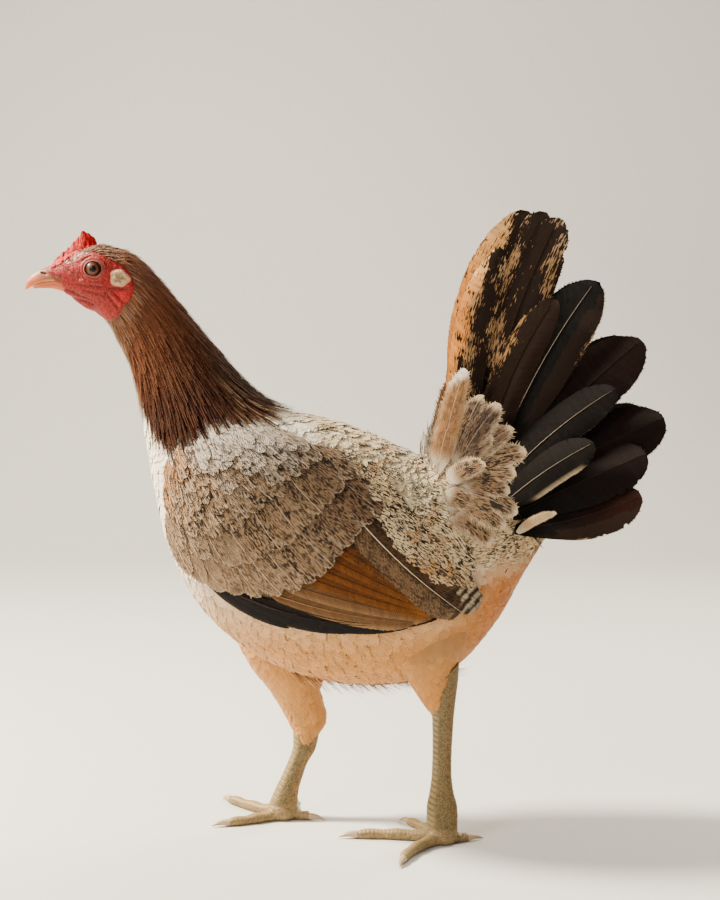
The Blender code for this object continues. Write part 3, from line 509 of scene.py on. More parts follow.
def vane_outline(f, base=0.35, full=0.45, tip=0.62):
    """Half width of a vane, as a share of its widest: narrow at the root, full, and a round end."""
    f = np.asarray(f, float)
    rise = base + (1 - base) * smooth(f, 0.0, full)
    end = np.sqrt(np.clip(1 - np.clip((f - tip) / (1 - tip), 0, 1) ** 2, 0, 1))
    return rise * end


def pointed_outline(f):
    f = np.asarray(f, float)
    shoulders = (0.55 + 0.45 * smooth(f, 0.0, 0.35)) * (1 - 0.55 * smooth(f, 0.3, 0.85))
    return shoulders * np.sqrt(np.clip(1.001 - f, 0, 1)) ** 0.6


def vane_template(barbs, columns, sweep, outline):
    """A vane of barbs: whole beside the shaft and split into points at its edge.

    Gives f along it, w across it in half widths, the column and barb of each point, and faces.
    """
    r = np.linspace(0.0, 1.0, barbs + 1)
    f, w, share, barb = [r], [0 * r], [0 * r], [np.arange(barbs + 1)]
    quads, tris = [], []
    count = barbs + 1
    for side in (-1, 1):
        previous = np.arange(barbs + 1)
        for column in columns:
            end = sweep + (1 - sweep) * r
            f.append(r + column * (end - r))
            w.append(side * column * outline(end))
            share.append(0 * r + column)
            barb.append(np.arange(barbs + 1))
            here = count + np.arange(barbs + 1)
            count += barbs + 1
            strip = np.stack([previous[:-1], here[:-1], here[1:], previous[1:]], axis=1)
            quads.append(strip[:, ::-side])
            previous = here
        middle = (r[:-1] + r[1:]) / 2
        end = sweep + (1 - sweep) * middle
        f.append(end)
        w.append(side * outline(end))
        share.append(0 * end + 1)
        barb.append(np.arange(barbs))
        here = count + np.arange(barbs)
        count += barbs
        tris.append(np.stack([previous[:-1], here, previous[1:]], axis=1)[:, ::-side])
    parts = [np.concatenate(p) for p in (f, w, share, barb)]
    return (*parts, np.concatenate(quads), np.concatenate(tris))


def solve(du, dv, move):
    """The steps in u and v that make a move on the surface."""
    a, b, d = (du * du).sum(-1), (du * dv).sum(-1), (dv * dv).sum(-1)
    p, q = (du * move).sum(-1), (dv * move).sum(-1)
    whole = np.maximum(a * d - b * b, 1e-9)
    return (d * p - b * q) / whole, (a * q - b * p) / whole


STATIONS = 6  # points of a shaft at which its way is found


def walk(chart, u, v, way, length):
    """Follows each feather's shaft over the surface: u and v of stations and of a step across."""
    spine = []
    for _ in range(STATIONS):
        du, dv, out = chart.slopes(u, v)
        way = unit(way - out * (way * out).sum(-1, keepdims=True))
        across = np.cross(out, way)
        spine.append(np.stack([u, v, *solve(du, dv, across)], axis=-1))
        su, sv = solve(du, dv, way)
        u, v = u + su * length / (STATIONS - 1), v + sv * length / (STATIONS - 1)
    return np.stack(spine, axis=1)


def lay(chart, u, v, way, length, width, template, lift, colour, frayed, patch, bow=0.0):
    """Feathers over a chart, all at once, as one set of points, faces and colours.

    A width may be one number or two, on the left and right of the shaft. Frayed is how uneven
    the barbs' ends are, and bow how far the shaft bends aside in the middle.
    """
    f, w, share, barb, quads, tris = template
    count = len(u)
    spine = walk(chart, u, v, way, length)
    luck = DRAW.random((count, 4))
    ends = share == 1
    along = np.tile(f, (count, 1))
    across = np.tile(w, (count, 1))
    rough = DRAW.normal(0.0, frayed, (count, len(f))) * ends
    along = np.clip(along + rough * 0.6, 0.0, 1.0)
    across = across * (1 + rough)
    at = along * (STATIONS - 1)
    i = np.minimum(at.astype(int), STATIONS - 2)[..., None]
    g = at[..., None] - i
    rows = np.take_along_axis(spine, i, 1) * (1 - g) + np.take_along_axis(spine, i + 1, 1) * g
    halves = width if width.ndim == 2 else np.stack([width, width], -1) / 2
    mm = across * np.where(across > 0, halves[:, :1], halves[:, 1:])
    aside = (mm + bow * 4 * along * (1 - along)) * chart.hand
    barbs = DRAW.random((count, int(barb.max()) + 1))
    batch = {
        "f": along, "w": across, "share": share[None, :] + 0 * along, "luck": luck,
        "barb": np.take_along_axis(barbs, np.tile(barb, (count, 1)), 1),
        "length": length, "root": chart.at(u, v), "u": u, "v": v,
    }
    uu, vv = rows[..., 0] + rows[..., 2] * aside, rows[..., 1] + rows[..., 3] * aside
    points = chart.raised(uu, vv, lift(batch))
    tint = colour(batch)
    form = np.stack([along * length[:, None], mm, np.tile(luck[:, :1] * SEEDS, (1, len(f)))], axis=-1)
    u0, u1, v0, v1 = patch
    place = np.stack([(u - u0) / (u1 - u0), (v - v0) / (v1 - v0)], axis=-1)[:, None, :]
    uv = place + np.stack([along - 0.5, across * 0.5], axis=-1) * TUFT
    shift = (np.arange(count) * len(f))[:, None, None]
    return {
        "points": points.reshape(-1, 3), "tint": tint.reshape(-1, 4), "form": form.reshape(-1, 3),
        "uv": np.clip(uv, 0, 1).reshape(-1, 2),
        "faces": [(quads[None] + shift).reshape(-1, 4), (tris[None] + shift).reshape(-1, 3)],
    }


def coat(name, batches, look, nodes=()):
    """One piece from batches of feathers."""
    starts = np.cumsum([0] + [len(batch["points"]) for batch in batches])
    faces = [np.concatenate([batch["faces"][k] + start for batch, start in zip(batches, starts)])
             for k in (0, 1)]
    points, tint, form, uv = (np.concatenate([batch[key] for batch in batches])
                              for key in ("points", "tint", "form", "uv"))
    make_object(name, points, faces, look, nodes, tint, form, uv)


BODY_TRIES, HEAD_TRIES, THIGH_TRIES, RUMP_TRIES = 200000, 60000, 30000, 4000


def scatter(chart, u_range, v_range, spacing, tries, keep):
    """Evenly spread roots: the first random try in each cube of the spacing's size."""
    u, v = DRAW.uniform(*u_range, tries), DRAW.uniform(*v_range, tries)
    p = chart.at(u, v)
    good = keep(u, v, p)
    u, v, p = u[good], v[good], p[good]
    size = spacing(u, v, p) if callable(spacing) else np.full(len(u), float(spacing))
    level = np.round(np.log2(size) * 4)
    cell = np.floor(p / (2 ** (level / 4))[:, None])
    _, first = np.unique(np.column_stack([cell, level]), axis=0, return_index=True)
    first = np.sort(first)
    return u[first], v[first]


def inside_by(polygon, x, z):
    """Signed distance to a closed outline of the side view, above zero inside it."""
    x, z = np.asarray(x, float), np.asarray(z, float)
    best = np.full(x.shape, np.inf)
    inside = np.zeros(x.shape, bool)
    for (x0, z0), (x1, z1) in zip(polygon, polygon[1:] + polygon[:1]):
        dx, dz = x1 - x0, z1 - z0
        f = np.clip(((x - x0) * dx + (z - z0) * dz) / (dx * dx + dz * dz), 0, 1)
        best = np.minimum(best, np.hypot(x - x0 - f * dx, z - z0 - f * dz))
        crosses = (z0 > z) != (z1 > z)
        inside ^= crosses & (x < x0 + (z - z0) * dx / (dz if dz else 1e-9))
    return np.where(inside, best, -best)


# The bare face in the side view; feathers grow outside it.
BARE_FACE = [
    (-203.0, 372.0), (-200.0, 381.0), (-190.0, 386.5), (-177.0, 388.2), (-166.0, 388.0), (-155.0, 384.0),
    (-147.0, 380.0), (-141.5, 373.5), (-139.5, 366.0), (-142.0, 359.0), (-147.0, 353.5), (-151.0, 347.5),
    (-155.5, 344.5), (-163.0, 347.0), (-175.0, 350.5), (-187.0, 357.5), (-196.0, 361.5),
]


def body_tint(p, luck):
    """Colour and amount of flecks of a body feather by where it grows."""
    x, z = p[..., 0], p[..., 2]
    warm = 1 - smooth(z, 130.0, 222.0)
    colour = blend(WHITE, SALMON, warm * 0.95)
    line = np.interp(x, (-110.0, -75.0, -40.0, -20.0, 0.0, 45.0, 75.0, 95.0, 120.0),
                     (400.0, 300.0, 278.0, 255.0, 228.0, 184.0, 172.0, 169.0, 162.0))
    upper = smooth(z - line, 0.0, 14.0)
    patchy = smooth(luck[..., 1] + 0.7 * noise_at(p, 14.0, 9.0), 0.40, 1.0)
    back = blend(BACK_CREAM, BACK_RUST, patchy * 0.65)
    rear = smooth(x, 20.0, 70.0) * (1 - smooth(z, 205.0, 245.0))
    back = blend(back, REAR_SAND, rear * 0.6)
    colour = blend(colour, back, upper * 0.9)
    breast = np.exp(-(((x + 100.0) / 9.0) ** 2 + ((z - 247.0) / 15.0) ** 2))
    colour = blend(colour, BREAST_RUST, breast * (0.3 + 0.7 * patchy))
    flank = smooth(x, 35.0, 80.0) * (1 - smooth(z, 158.0, 188.0))
    colour = blend(colour, FLANK_ORANGE, flank * 0.87)
    vent = smooth(x, 96.0, 114.0) * (1 - smooth(z, 172.0, 200.0)) * smooth(z, 140.0, 162.0)
    colour = blend(colour, VENT_BROWN, vent * (0.3 + 0.6 * patchy))
    colour = colour * (0.86 + 0.22 * luck[..., 2:3])
    spots = upper * np.clip(0.85 + 0.9 * noise_at(p, 13.0, 4.0) + 0.3 * (luck[..., 0] - 0.5), 0.15, 1.0)
    return colour, np.clip(spots + vent * 0.5 + 0.5 * breast, 0, 0.95)


def deepen(tint):
    """Deepens colours away from grey, keeping their strongest channel."""
    rgb = np.clip(tint[:, :3], 1e-4, 1.0)
    strongest = rgb.max(axis=1, keepdims=True)
    return np.hstack([rgb * (rgb / strongest) ** RICHNESS, tint[:, 3:]])


def with_alpha(colour, alpha):
    alpha = np.broadcast_to(np.asarray(alpha)[..., None], colour.shape[:-1] + (1,))
    return np.concatenate([colour, alpha], -1)


def plain(colour):
    """Rows of colours without flecks."""
    colour = np.reshape(colour, (-1, 3))
    return with_alpha(colour, np.zeros(len(colour)))


def body_colour(batch):
    f = batch["f"]
    colour, flecks = body_tint(batch["root"], batch["luck"])
    # Darker towards each feather's root, where the next feathers cover it: painted shade. The paler edges
    # and the barbs that differ at random are the feather's own.
    light = 0.80 + 0.16 * smooth(f, 0.25, 0.8) + 0.08 * batch["share"] + 0.10 * (batch["barb"] - 0.5)
    return with_alpha(colour[:, None, :] * light[..., None], np.broadcast_to(flecks[:, None], f.shape))


def hug(depth, tip, camber, spread):
    """A lift that starts under the coat and ends at its surface, with the edges lower."""

    def lift(batch):
        f = batch["f"]
        luck = batch["luck"][:, 3:4]
        return -depth + (depth + tip + spread * (luck - 0.5)) * f**0.8 - camber * batch["w"] ** 2 * f

    return lift


# Vanes: barbs on each side, columns of points between shaft and edge, how far a barb runs
# towards the tip, and outline.
BODY_VANE = vane_template(11, (0.6,), 0.26, vane_outline)
HACKLE_VANE = vane_template(12, (0.5,), 0.20, pointed_outline)
SMALL_VANE = vane_template(5, (0.5,), 0.3, pointed_outline)
COVERT_VANE = vane_template(22, (0.5, 0.86), 0.16, vane_outline)


def trunk_way(u, v, fall):
    """The way feathers lie: towards the tail, and down by their fall."""
    return unit(unit(TRUNK_CHART.slopes(u, v)[0]) - np.array([0.0, 0.0, 1.0]) * np.asarray(fall)[..., None])


def trunk_pace(u, v):
    """Millimetres along the trunk from one section to the next."""
    return np.linalg.norm(TRUNK_CHART.slopes(u, v)[0], axis=-1)


BREAST_END, FLANK_END, BACK_END = 13.6, 16.0, 17.0  # sections at which the coat's pieces end


def body_coat(look):
    """The breast, belly, back and saddle, in pieces of limited size."""

    def spacing(u, v, p):
        return 5.4 - 0.8 * smooth(p[..., 2], 200.0, 260.0) - 0.8 * (1 - smooth(u, 11.0, 13.0))

    def keep(u, v, p):
        tip = TRUNK_CHART.at(u + 20.0 / trunk_pace(u, v), v)
        deep = inside_by(WING_HIDES, p[:, 0], p[:, 2])
        hidden = (deep > 9.0) | (deep > -8.0) & (inside_by(WING_HIDES, tip[:, 0], tip[:, 2] - 4.0) > 3.5)
        cape_end = np.interp(np.sin(v), CAPE_TURN, CAPE_END)
        return ~(hidden & (np.abs(p[:, 1]) > 20.0)) & (u > cape_end - 0.75)

    u, v = scatter(TRUNK_CHART, (10.4, TRUNK_END - 0.25), ALL_ROUND, spacing, BODY_TRIES, keep)
    beside = np.abs(np.cos(v))
    way = trunk_way(u, v, 0.45 * beside * smooth(u, 12.0, 15.0) + 0.5 * smooth(u, 19.0, 22.0) * beside)
    length = 18.0 + 11.0 * smooth(u, 15.0, 19.0) + DRAW.uniform(-2.5, 2.5, len(u))
    length = length - 5.0 * (1 - smooth(u, 11.0, 12.5))
    length = np.minimum(length, np.maximum((TRUNK_END + 0.7 - u) * trunk_pace(u, v), 9.0))
    width = length * DRAW.uniform(0.50, 0.62, len(u))
    upper, behind = np.sin(v) >= 0.1, u >= BREAST_END
    groups = {
        "breast": ~behind, "flanks": behind & (u < FLANK_END) & ~upper, "belly": (u >= FLANK_END) & ~upper,
        "back": behind & (u < BACK_END) & upper, "saddle": (u >= BACK_END) & upper,
    }
    loose = {"belly": fringe, "saddle": rump}
    for name, pick in groups.items():
        lift = hug(depth=2.6, tip=0.1, camber=0.4, spread=0.3)
        if name in ("back", "saddle"):
            lift = hug(depth=COAT_DEPTH, tip=0.2, camber=0.7, spread=0.7)
        laid = [lay(TRUNK_CHART, u[pick], v[pick], way[pick], length[pick], width[pick], BODY_VANE, lift,
                    body_colour, 0.07, TRUNK_PATCH)]
        if name in loose:
            laid.append(loose[name]())
        coat(f"plumage_{name}", laid, look)


RUMP_MIDDLE, RUMP_UP = np.array((110.5, 0.0, 219.3)), np.array((-0.570, 0.0, 0.821))
RUMP_HALF = (15.0, 32.5)  # half its width and half its height


def rump_at(across, up):
    """The flat end of the trunk between the tail's halves."""
    return RUMP_MIDDLE + np.stack([0 * across, across, 0 * across], -1) + up[..., None] * RUMP_UP


def rump():
    """Feathers that hang over the trunk's end."""
    chart = Chart(rump_at, (1.0, 1.0), 1)

    def keep(u, v, p):
        inside = np.abs(u / RUMP_HALF[0]) ** TRUNK_POWER + np.abs(v / RUMP_HALF[1]) ** TRUNK_POWER < 0.94
        return inside & (v > -0.72 * RUMP_HALF[1])

    (left, right), (low, high) = ((-half, half) for half in RUMP_HALF)
    u, v = scatter(chart, (left, right), (low, high), 3.6, RUMP_TRIES, keep)
    aside = np.stack([0 * u, u * 0.02, 0 * u], -1)
    length = np.clip(v + RUMP_HALF[1], 5.0, 14.0)
    lift = hug(depth=-0.2, tip=1.6, camber=0.4, spread=0.7)
    return lay(chart, u, v, unit(aside - RUMP_UP), length, length * 0.55, BODY_VANE, lift, body_colour,
               0.08, (-579.0, 21.0, low, high))


def fringe():
    """Loose thin feathers that hang along the underside between the legs."""
    count = 380
    u = DRAW.uniform(16.2, 18.8, count)
    v = -math.pi / 2 + DRAW.normal(0.0, 0.16, count)
    way = trunk_way(u, v, 0.1 + 0 * u)
    length = DRAW.uniform(11.0, 19.0, count)

    def hang(batch):
        return -2.5 + (6.5 + 6.0 * batch["luck"][:, 3:4]) * batch["f"] ** 1.3

    def shade(batch):
        colour = blend(FRINGE_DARK, FRINGE_PALE, batch["luck"][:, 1:2])
        colour = colour * (0.8 + 0.2 * batch["barb"])[..., None]
        return with_alpha(colour, np.zeros(batch["f"].shape))

    return lay(TRUNK_CHART, u, v, way, length, DRAW.uniform(2.0, 3.6, count), HACKLE_VANE, hang, shade, 0.3,
               (10.0, 23.0, -2.3, 4.6))


# The folded wing in the side view, as the solids have it.
WING_UPPER = (
    (-104.0, 236.0), (-98.8, 249.2), (-76.5, 259.5), (-51.2, 261.0), (-22.7, 255.5), (2.7, 244.1),
    (18.5, 230.1), (34.4, 212.2), (53.5, 193.0), (72.7, 177.0), (89.0, 167.5),
)
WING_LOWER = (
    (-108.0, 228.0), (-105.5, 201.4), (-96.0, 183.4), (-77.0, 168.0), (-53.5, 156.4), (-29.3, 148.1),
    (-0.6, 143.2), (28.1, 144.2), (50.5, 148.7), (72.8, 157.0), (89.0, 163.0),
)
WING_HIDES = list(WING_UPPER) + list(WING_LOWER)[::-1]
WING_SHOULDER, WING_SWELL, WING_SWELL_REACH = (-72.0, 226.0), 5.5, 50.0
WING_EDGE = 1.1  # height of the wing over the trunk away from the shoulder


def wing_lift(x, z):
    """Height of the wing's pad over the trunk: it swells round the shoulder."""
    away = np.hypot(x - WING_SHOULDER[0], z - WING_SHOULDER[1]) / WING_SWELL_REACH
    return WING_EDGE + WING_SWELL * np.exp(-(away**2))


def add_skin(look):
    """One skin, bare on the face and under the coat elsewhere: the trunk and both thighs.

    Its rows are closest on the head. In its UV map the trunk lies below 0.8 and the thighs
    beyond.
    """
    ts = np.concatenate([np.linspace(0.0, 7.2, 230), np.linspace(7.27, TRUNK_END, 90)])
    sides = 216
    t, a = ring_grid(ts, sides)
    p = trunk_at(t, a)
    bare = inside_by(BARE_FACE, p[..., 0], p[..., 2])
    sunk = (1 - smooth(bare, -3.0, 0.5)) * (0.9 + 0.6 * smooth(t, 5.5, 7.5))
    sunk = sunk + smooth(t, 7.0, 9.0) * (COAT_DEPTH - 1.5)
    body = body_tint(p, np.full(p.shape[:2] + (4,), 0.5))[0] * 0.9
    below_cape = smooth(t - np.interp(np.sin(a), CAPE_TURN, CAPE_END), -0.9, -0.5)
    feathered = blend(NECK_SKIN, body, below_cape)
    feathered = blend(HEAD_SKIN, feathered, smooth(t, 5.0, 7.0))
    colour = blend(feathered, face_tint(p.reshape(-1, 3)).reshape(p.shape), smooth(bare, -2.5, 0.0))
    p = TRUNK_CHART.raised(t, a, face_relief(p, t, bare) - sunk)
    points = [p.reshape(-1, 3), p[0].mean(axis=0)[None], p[-1].mean(axis=0)[None]]
    tint = [colour.reshape(-1, 3), colour[0, :1], colour[-1, :1]]
    around = np.stack([t / TRUNK_END * 0.8, a / (2 * math.pi)], -1)
    uv = [around.reshape(-1, 2), np.zeros((1, 2)), np.ones((1, 2)) * 0.8]
    quads = [ring_quads(len(ts), sides)[:, ::-1]]
    count = len(ts) * sides
    first, last = np.arange(sides), np.arange(count - sides, count)
    caps = [np.stack([np.full(sides, count), first, np.roll(first, -1)], 1),
            np.stack([np.full(sides, count + 1), np.roll(last, -1), last], 1)]
    count += 2
    rows = 40
    for side in SIDES:
        chart, end = leg_chart(side, "thigh")
        s, turn = ring_grid(np.linspace(0, end, rows), rows)
        q = chart.at(s, turn)
        middle = q.mean(axis=1, keepdims=True)
        q = middle + (q - middle) * (1 - 1.5 / np.linalg.norm(q - middle, axis=-1, keepdims=True))
        quads.append(ring_quads(rows, rows) + count)
        points.append(q.reshape(-1, 3))
        tint.append(thigh_tint(q.reshape(-1, 3), np.full((q.size // 3, 4), 0.5)))
        around = np.stack([0.82 + 0.17 * s / end, (turn / (2 * math.pi) + (side > 0)) * 0.5], -1)
        uv.append(around.reshape(-1, 2))
        count += q.size // 3
    points, tint = np.concatenate(points), np.concatenate(tint)
    nodes = ("head", "neck", "torso", "thigh_left", "thigh_right")
    make_object("skin", points, [np.concatenate(quads)] + caps, look, nodes, plain(tint), None,
                np.concatenate(uv))


def face_grain(p):
    """Height of the fine bumps that the face and the lids share."""
    return noise_at(p, 0.9) * 0.16 + noise_at(p, 2.3, 5.0) * 0.22


def face_relief(p, t, bare):
    """Height of the bare skin's folds and bumps."""
    x, z = p[..., 0], p[..., 2]
    near = t < 7.4
    out = np.zeros(x.shape)
    q = p[near]
    folds = np.zeros(len(q))
    for start, end, reach, height in FACE_FOLDS:
        folds += 1.2 * height * near_line(q[:, 0], q[:, 2], start, end, reach)
    eye = np.hypot(q[:, 0] - EYE[0], q[:, 2] - EYE[1])
    sink = -3.4 * (1 - smooth(eye, 6.5, 9.6))
    out[near] = (face_grain(q) + folds) * smooth(bare[near], -2.0, 2.0) + sink * (np.abs(q[:, 1]) > 6.0)
    rise = smooth(z - comb_foot(x), -0.3, 1.0) * beside_comb(x) * near
    return out + rise * (0.9 + 0.8 * noise_at(p, 1.3, 2.0))


# Folds and creases of the face: from, to, reach and height, below zero for a crease.
FACE_FOLDS = (
    ((-193.0, 367.0), (-180.0, 362.6), 0.8, -0.9),
    ((-180.0, 362.6), (-169.0, 358.0), 0.9, -0.5),
    ((-191.0, 364.4), (-176.0, 357.6), 1.3, 0.7),
    ((-188.0, 359.8), (-168.0, 352.6), 1.5, 1.1),
    ((-186.0, 361.8), (-166.0, 354.6), 0.6, -0.6),
    ((-176.0, 384.5), (-159.0, 386.4), 1.8, 0.6),
    ((-155.5, 365.2), (-142.5, 364.6), 0.9, -0.7),
    ((-157.0, 362.0), (-149.0, 351.5), 0.8, -0.5),
    ((-154.0, 362.0), (-146.5, 352.5), 1.2, 0.6),
    ((-151.0, 361.5), (-144.5, 354.5), 0.6, -0.6),
    ((-141.0, 366.5), (-147.0, 355.0), 1.4, 0.8),
    ((-174.0, 369.5), (-160.0, 368.3), 1.0, 0.4),
    ((-176.0, 367.5), (-159.0, 365.8), 0.6, -0.4),
    ((-172.0, 364.0), (-157.0, 359.5), 0.6, -0.35),
    ((-186.0, 379.5), (-175.0, 372.0), 0.7, -0.4),
    ((-183.5, 383.5), (-175.0, 384.5), 0.7, -0.4),
)


def face_tint(p):
    """Red skin with a pale ring round the eye, painted shade in the creases and along the gape, and an
    orange corner of the bill.
    """
    x, z = p[:, 0], p[:, 2]
    dusk = smooth(noise_at(p, 6.0, 3.0), -0.2, 0.6)
    red = blend(FACE_RED, FACE_DUSK, dusk * 0.6)
    eye = np.hypot((x - EYE[0]) / 1.05, z - EYE[1])
    red = blend(red, EYE_RING, np.exp(-(((eye - 6.2) / 1.3) ** 2)) * 0.7)
    brow = smooth(z - (382.0 + 0.3 * (x + 180)), 0, 5) * (x < -165)
    red = blend(red, BROW_PINK, brow * 0.4)
    red = blend(red, CHEEK_RED, np.exp(-(((x + 145.5) / 7) ** 2 + ((z - 359) / 7) ** 2)) * 0.7)
    # Painted shade: dark red along the face's creases.
    crease = np.zeros(len(x))
    for start, end, reach, height in FACE_FOLDS:
        if height < 0:
            crease = np.maximum(crease, near_line(x, z, start, end, reach))
    red = blend(red, CREASE_SHADE_RED, crease * 0.8)
    # Painted shade: a dark brown line in the crease of the gape.
    gape_shade = np.maximum(near_line(x, z, (-201.0, 375.0), (-187.5, 371.0), 1.5),
                      near_line(x, z, (-192.0, 373.0), (-187.0, 370.6), 1.2) * 0.6)
    red = blend(red, GAPE_SHADE_BROWN, gape_shade * 0.85)
    red = blend(red, GAPE_ORANGE, near_line(x, z, (-199.0, 370.6), (-188.0, 367.6), 1.3) * 0.8)
    foot = smooth(z - comb_foot(x), -0.4, 0.8) * beside_comb(x)
    return blend(red, COMB_RED, foot)


def near_line(x, z, start, end, reach):
    """1 on a line of the side view, falling off over the reach."""
    dx, dz = end[0] - start[0], end[1] - start[1]
    f = np.clip(((x - start[0]) * dx + (z - start[1]) * dz) / (dx * dx + dz * dz), 0, 1)
    return np.exp(-((np.hypot(x - start[0] - f * dx, z - start[1] - f * dz) / reach) ** 2))


def comb_foot(x):
    """Height at which the comb's red ends on the side of the crown."""
    return np.interp(x, (-196.0, -188.0, -177.6, -165.4), (377.0, 380.6, 388.0, 394.2))


def beside_comb(x):
    """1 along the comb, 0 in front of it and behind it."""
    return smooth(x, -196.0, -192.0) * (1 - smooth(x, -166.0, -163.0))


def skin_material():
    n = Nodes("bare_skin")
    tint = n.attribute("tint")
    spots = n.step(n.cells(n.place(), 900.0), 0.25, 0.55)
    colour = n.mix(tint["Color"], PORE_PINK, n.times(n.minus(1.0, spots), 0.16))
    fine = n.noise(n.place(), 1500.0, 3.0)
    n.bump(n.plus(spots, fine), 0.12, 0.8)
    return n.finish(colour, 0.55, subsurface_weight=0.08, subsurface_scale=0.001, specular_ior_level=0.25)


# Where the neck's cape ends: the sine of the angle round the trunk, and the section.
CAPE_TURN = (-1.0, -0.75, -0.45, 0.0, 0.35, 0.6, 1.0)
CAPE_END = (10.6, 11.8, 12.6, 12.4, 12.3, 12.8, 12.8)


def hackle_colour(batch):
    """Mahogany with dark centres and pale edges, paler at the throat, cheek and nape."""
    u, f, luck = batch["u"][:, None], batch["f"], batch["luck"]
    high = np.sin(batch["v"])[:, None]
    low = smooth(u, 8.0, 10.2)
    base = blend(MAHOGANY_HIGH, MAHOGANY, smooth(u, 5.5, 7.5))
    base = blend(base, MAHOGANY_LOW, np.clip(low * (0.65 + 0.5 * luck[:, 1:2]), 0, 1))
    base = np.broadcast_to(base, f.shape + (3,))
    core = (1 - batch["share"]) * smooth(f, 0.12, 0.5) * smooth(u, 6.3, 9.0)
    colour = blend(base, UMBER, np.clip(core * 1.1, 0, 1))
    edge = smooth(batch["share"], 0.35, 1.0) * (luck[:, 2:3] ** 1.5)
    colour = blend(colour, blend(HACKLE_EDGE, HACKLE_EDGE_LOW, low), edge * 0.7)
    dusk = smooth(luck[:, 3:4], 0.55, 0.9) * low
    colour = blend(colour, UMBER, dusk * 0.7)
    throat = (1 - smooth(high, -1.0, -0.80)) * (1 - smooth(u, 8.0, 10.8)) * (0.4 + 0.6 * luck[:, 1:2])
    colour = blend(colour, THROAT_BUFF, throat * 0.8)
    cheek = (1 - smooth(u, 5.6, 7.4)) * (1 - smooth(high, -0.3, 0.5))
    colour = blend(colour, CHEEK_BROWN, cheek * (0.2 + 0.6 * luck[:, 2:3]))
    nape = smooth(high, 0.35, 0.8) * smooth(u, 9.0, 11.0) * smooth(luck[:, 0:1], 0.55, 0.9)
    colour = blend(colour, NAPE_PALE, nape * 0.7 * (1 - batch["share"]))
    colour = colour * (0.78 + 0.44 * luck[:, 3:4] + 0.35 * (batch["barb"] - 0.5))[..., None]
    return with_alpha(np.clip(colour, 0, 1), np.zeros(f.shape))


def hackle(look):
    """The neck's long pointed feathers, down over the shoulders as a cape."""

    def keep(u, v, p):
        end = np.interp(np.sin(v), CAPE_TURN, CAPE_END)
        tip = u + hackle_length(u) / trunk_pace(u, v)
        return (inside_by(BARE_FACE, p[:, 0], p[:, 2]) < -1.0) & (tip < end + 0.12 + 0.5 * noise_at(p, 9.0))

    def spacing(u, v, p):
        return np.interp(u, (5.0, 7.0, 9.0, 11.0), (1.9, 2.4, 3.1, 3.4))

    def lift(batch):
        f = batch["f"]
        over = 1.5 * smooth(batch["u"], 8.5, 10.5) + 0.9 * smooth(np.sin(batch["v"]), 0.3, 0.9)
        tip = 3.2 + over[:, None] + 1.2 * (batch["luck"][:, 3:4] - 0.5)
        return -2.4 + tip * f**0.7 - 0.35 * batch["w"] ** 2

    u, v = scatter(TRUNK_CHART, (4.9, 12.0), ALL_ROUND, spacing, BODY_TRIES, keep)
    length = hackle_length(u) * DRAW.uniform(0.85, 1.12, len(u))
    width = np.interp(u, (5.0, 7.0, 9.0, 12.0), (2.0, 2.8, 4.0, 4.8))
    way = trunk_way(u, v, 0.12 * np.abs(np.cos(v)))
    laid = lay(TRUNK_CHART, u, v, way, length, width, HACKLE_VANE, lift, hackle_colour, 0.16,
               (4.5, 13.5, -0.3, 6.6))
    coat("hackle", [laid], look)


def hackle_length(u):
    """Length of a neck feather: longest over the shoulders."""
    return np.interp(u, (5.0, 6.5, 8.0, 9.5, 11.0), (8.0, 15.0, 25.0, 33.0, 30.0))


def head_colour(batch):
    """Brown crown with pale specks, paler throat, and dark or white bristles on the bare face."""
    root, f = batch["root"], batch["f"]
    z, x = root[:, 2], root[:, 0]
    crown = blend(CROWN_DARK, CROWN_PALE, (batch["luck"][:, 1] > 0.75) * 0.7)
    low = 1 - smooth(z - (360.0 + 0.12 * (x + 160)), 0.0, 12.0)
    colour = blend(crown, CROWN_LOW, low * (0.3 + 0.7 * batch["luck"][:, 0]))
    front = 1 - smooth(x - np.interp(z, (315.0, 345.0), (-142.0, -161.0)), 0.0, 5.5)
    colour = blend(colour, CHIN_BUFF, low * front * 0.85)
    bare = inside_by(BARE_FACE, x, z)
    bristle = blend(BRISTLE_DARK, BRISTLE_WHITE, batch["luck"][:, 2] > 0.72)
    colour = blend(colour, bristle, smooth(bare, 0.2, 0.6))
    colour = colour * (0.75 + 0.5 * batch["luck"][:, 3:4])
    return with_alpha(np.broadcast_to(colour[:, None, :], f.shape + (3,)), np.zeros(f.shape))


def head_coat(look):
    """Small feathers of the crown, nape and throat, and the bristles between comb and eye."""

    def keep(u, v, p):
        bare = inside_by(BARE_FACE, p[:, 0], p[:, 2])
        over = p[:, 2] - comb_foot(p[:, 0])
        brow = (over > -3.6) & (over < -0.2) & (p[:, 0] < -167.0) & (p[:, 0] > -186.0)
        crest = (over > -0.2) & (p[:, 0] < -166.0)
        return (bare < -0.3) & ~crest | (brow & (DRAW.random(len(u)) < 0.8))

    def spacing(u, v, p):
        return np.interp(u, (0.4, 4.0, 7.0), (1.0, 1.35, 1.9))

    u, v = scatter(TRUNK_CHART, (0.5, 6.6), ALL_ROUND, spacing, HEAD_TRIES, keep)
    length = np.interp(u, (0.5, 3.0, 6.6), (2.4, 4.2, 9.0)) * DRAW.uniform(0.8, 1.2, len(u))
    width = np.interp(u, (0.5, 3.0, 6.6), (0.7, 1.6, 2.6))
    way = trunk_way(u, v, 0.0 * u)
    lift = hug(depth=1.2, tip=0.5, camber=0.1, spread=0.8)
    laid = lay(TRUNK_CHART, u, v, way, length, width, SMALL_VANE, lift, head_colour, 0.15,
               (0.0, 8.0, -0.3, 6.6))
    coat("head_feathers", [laid], look)


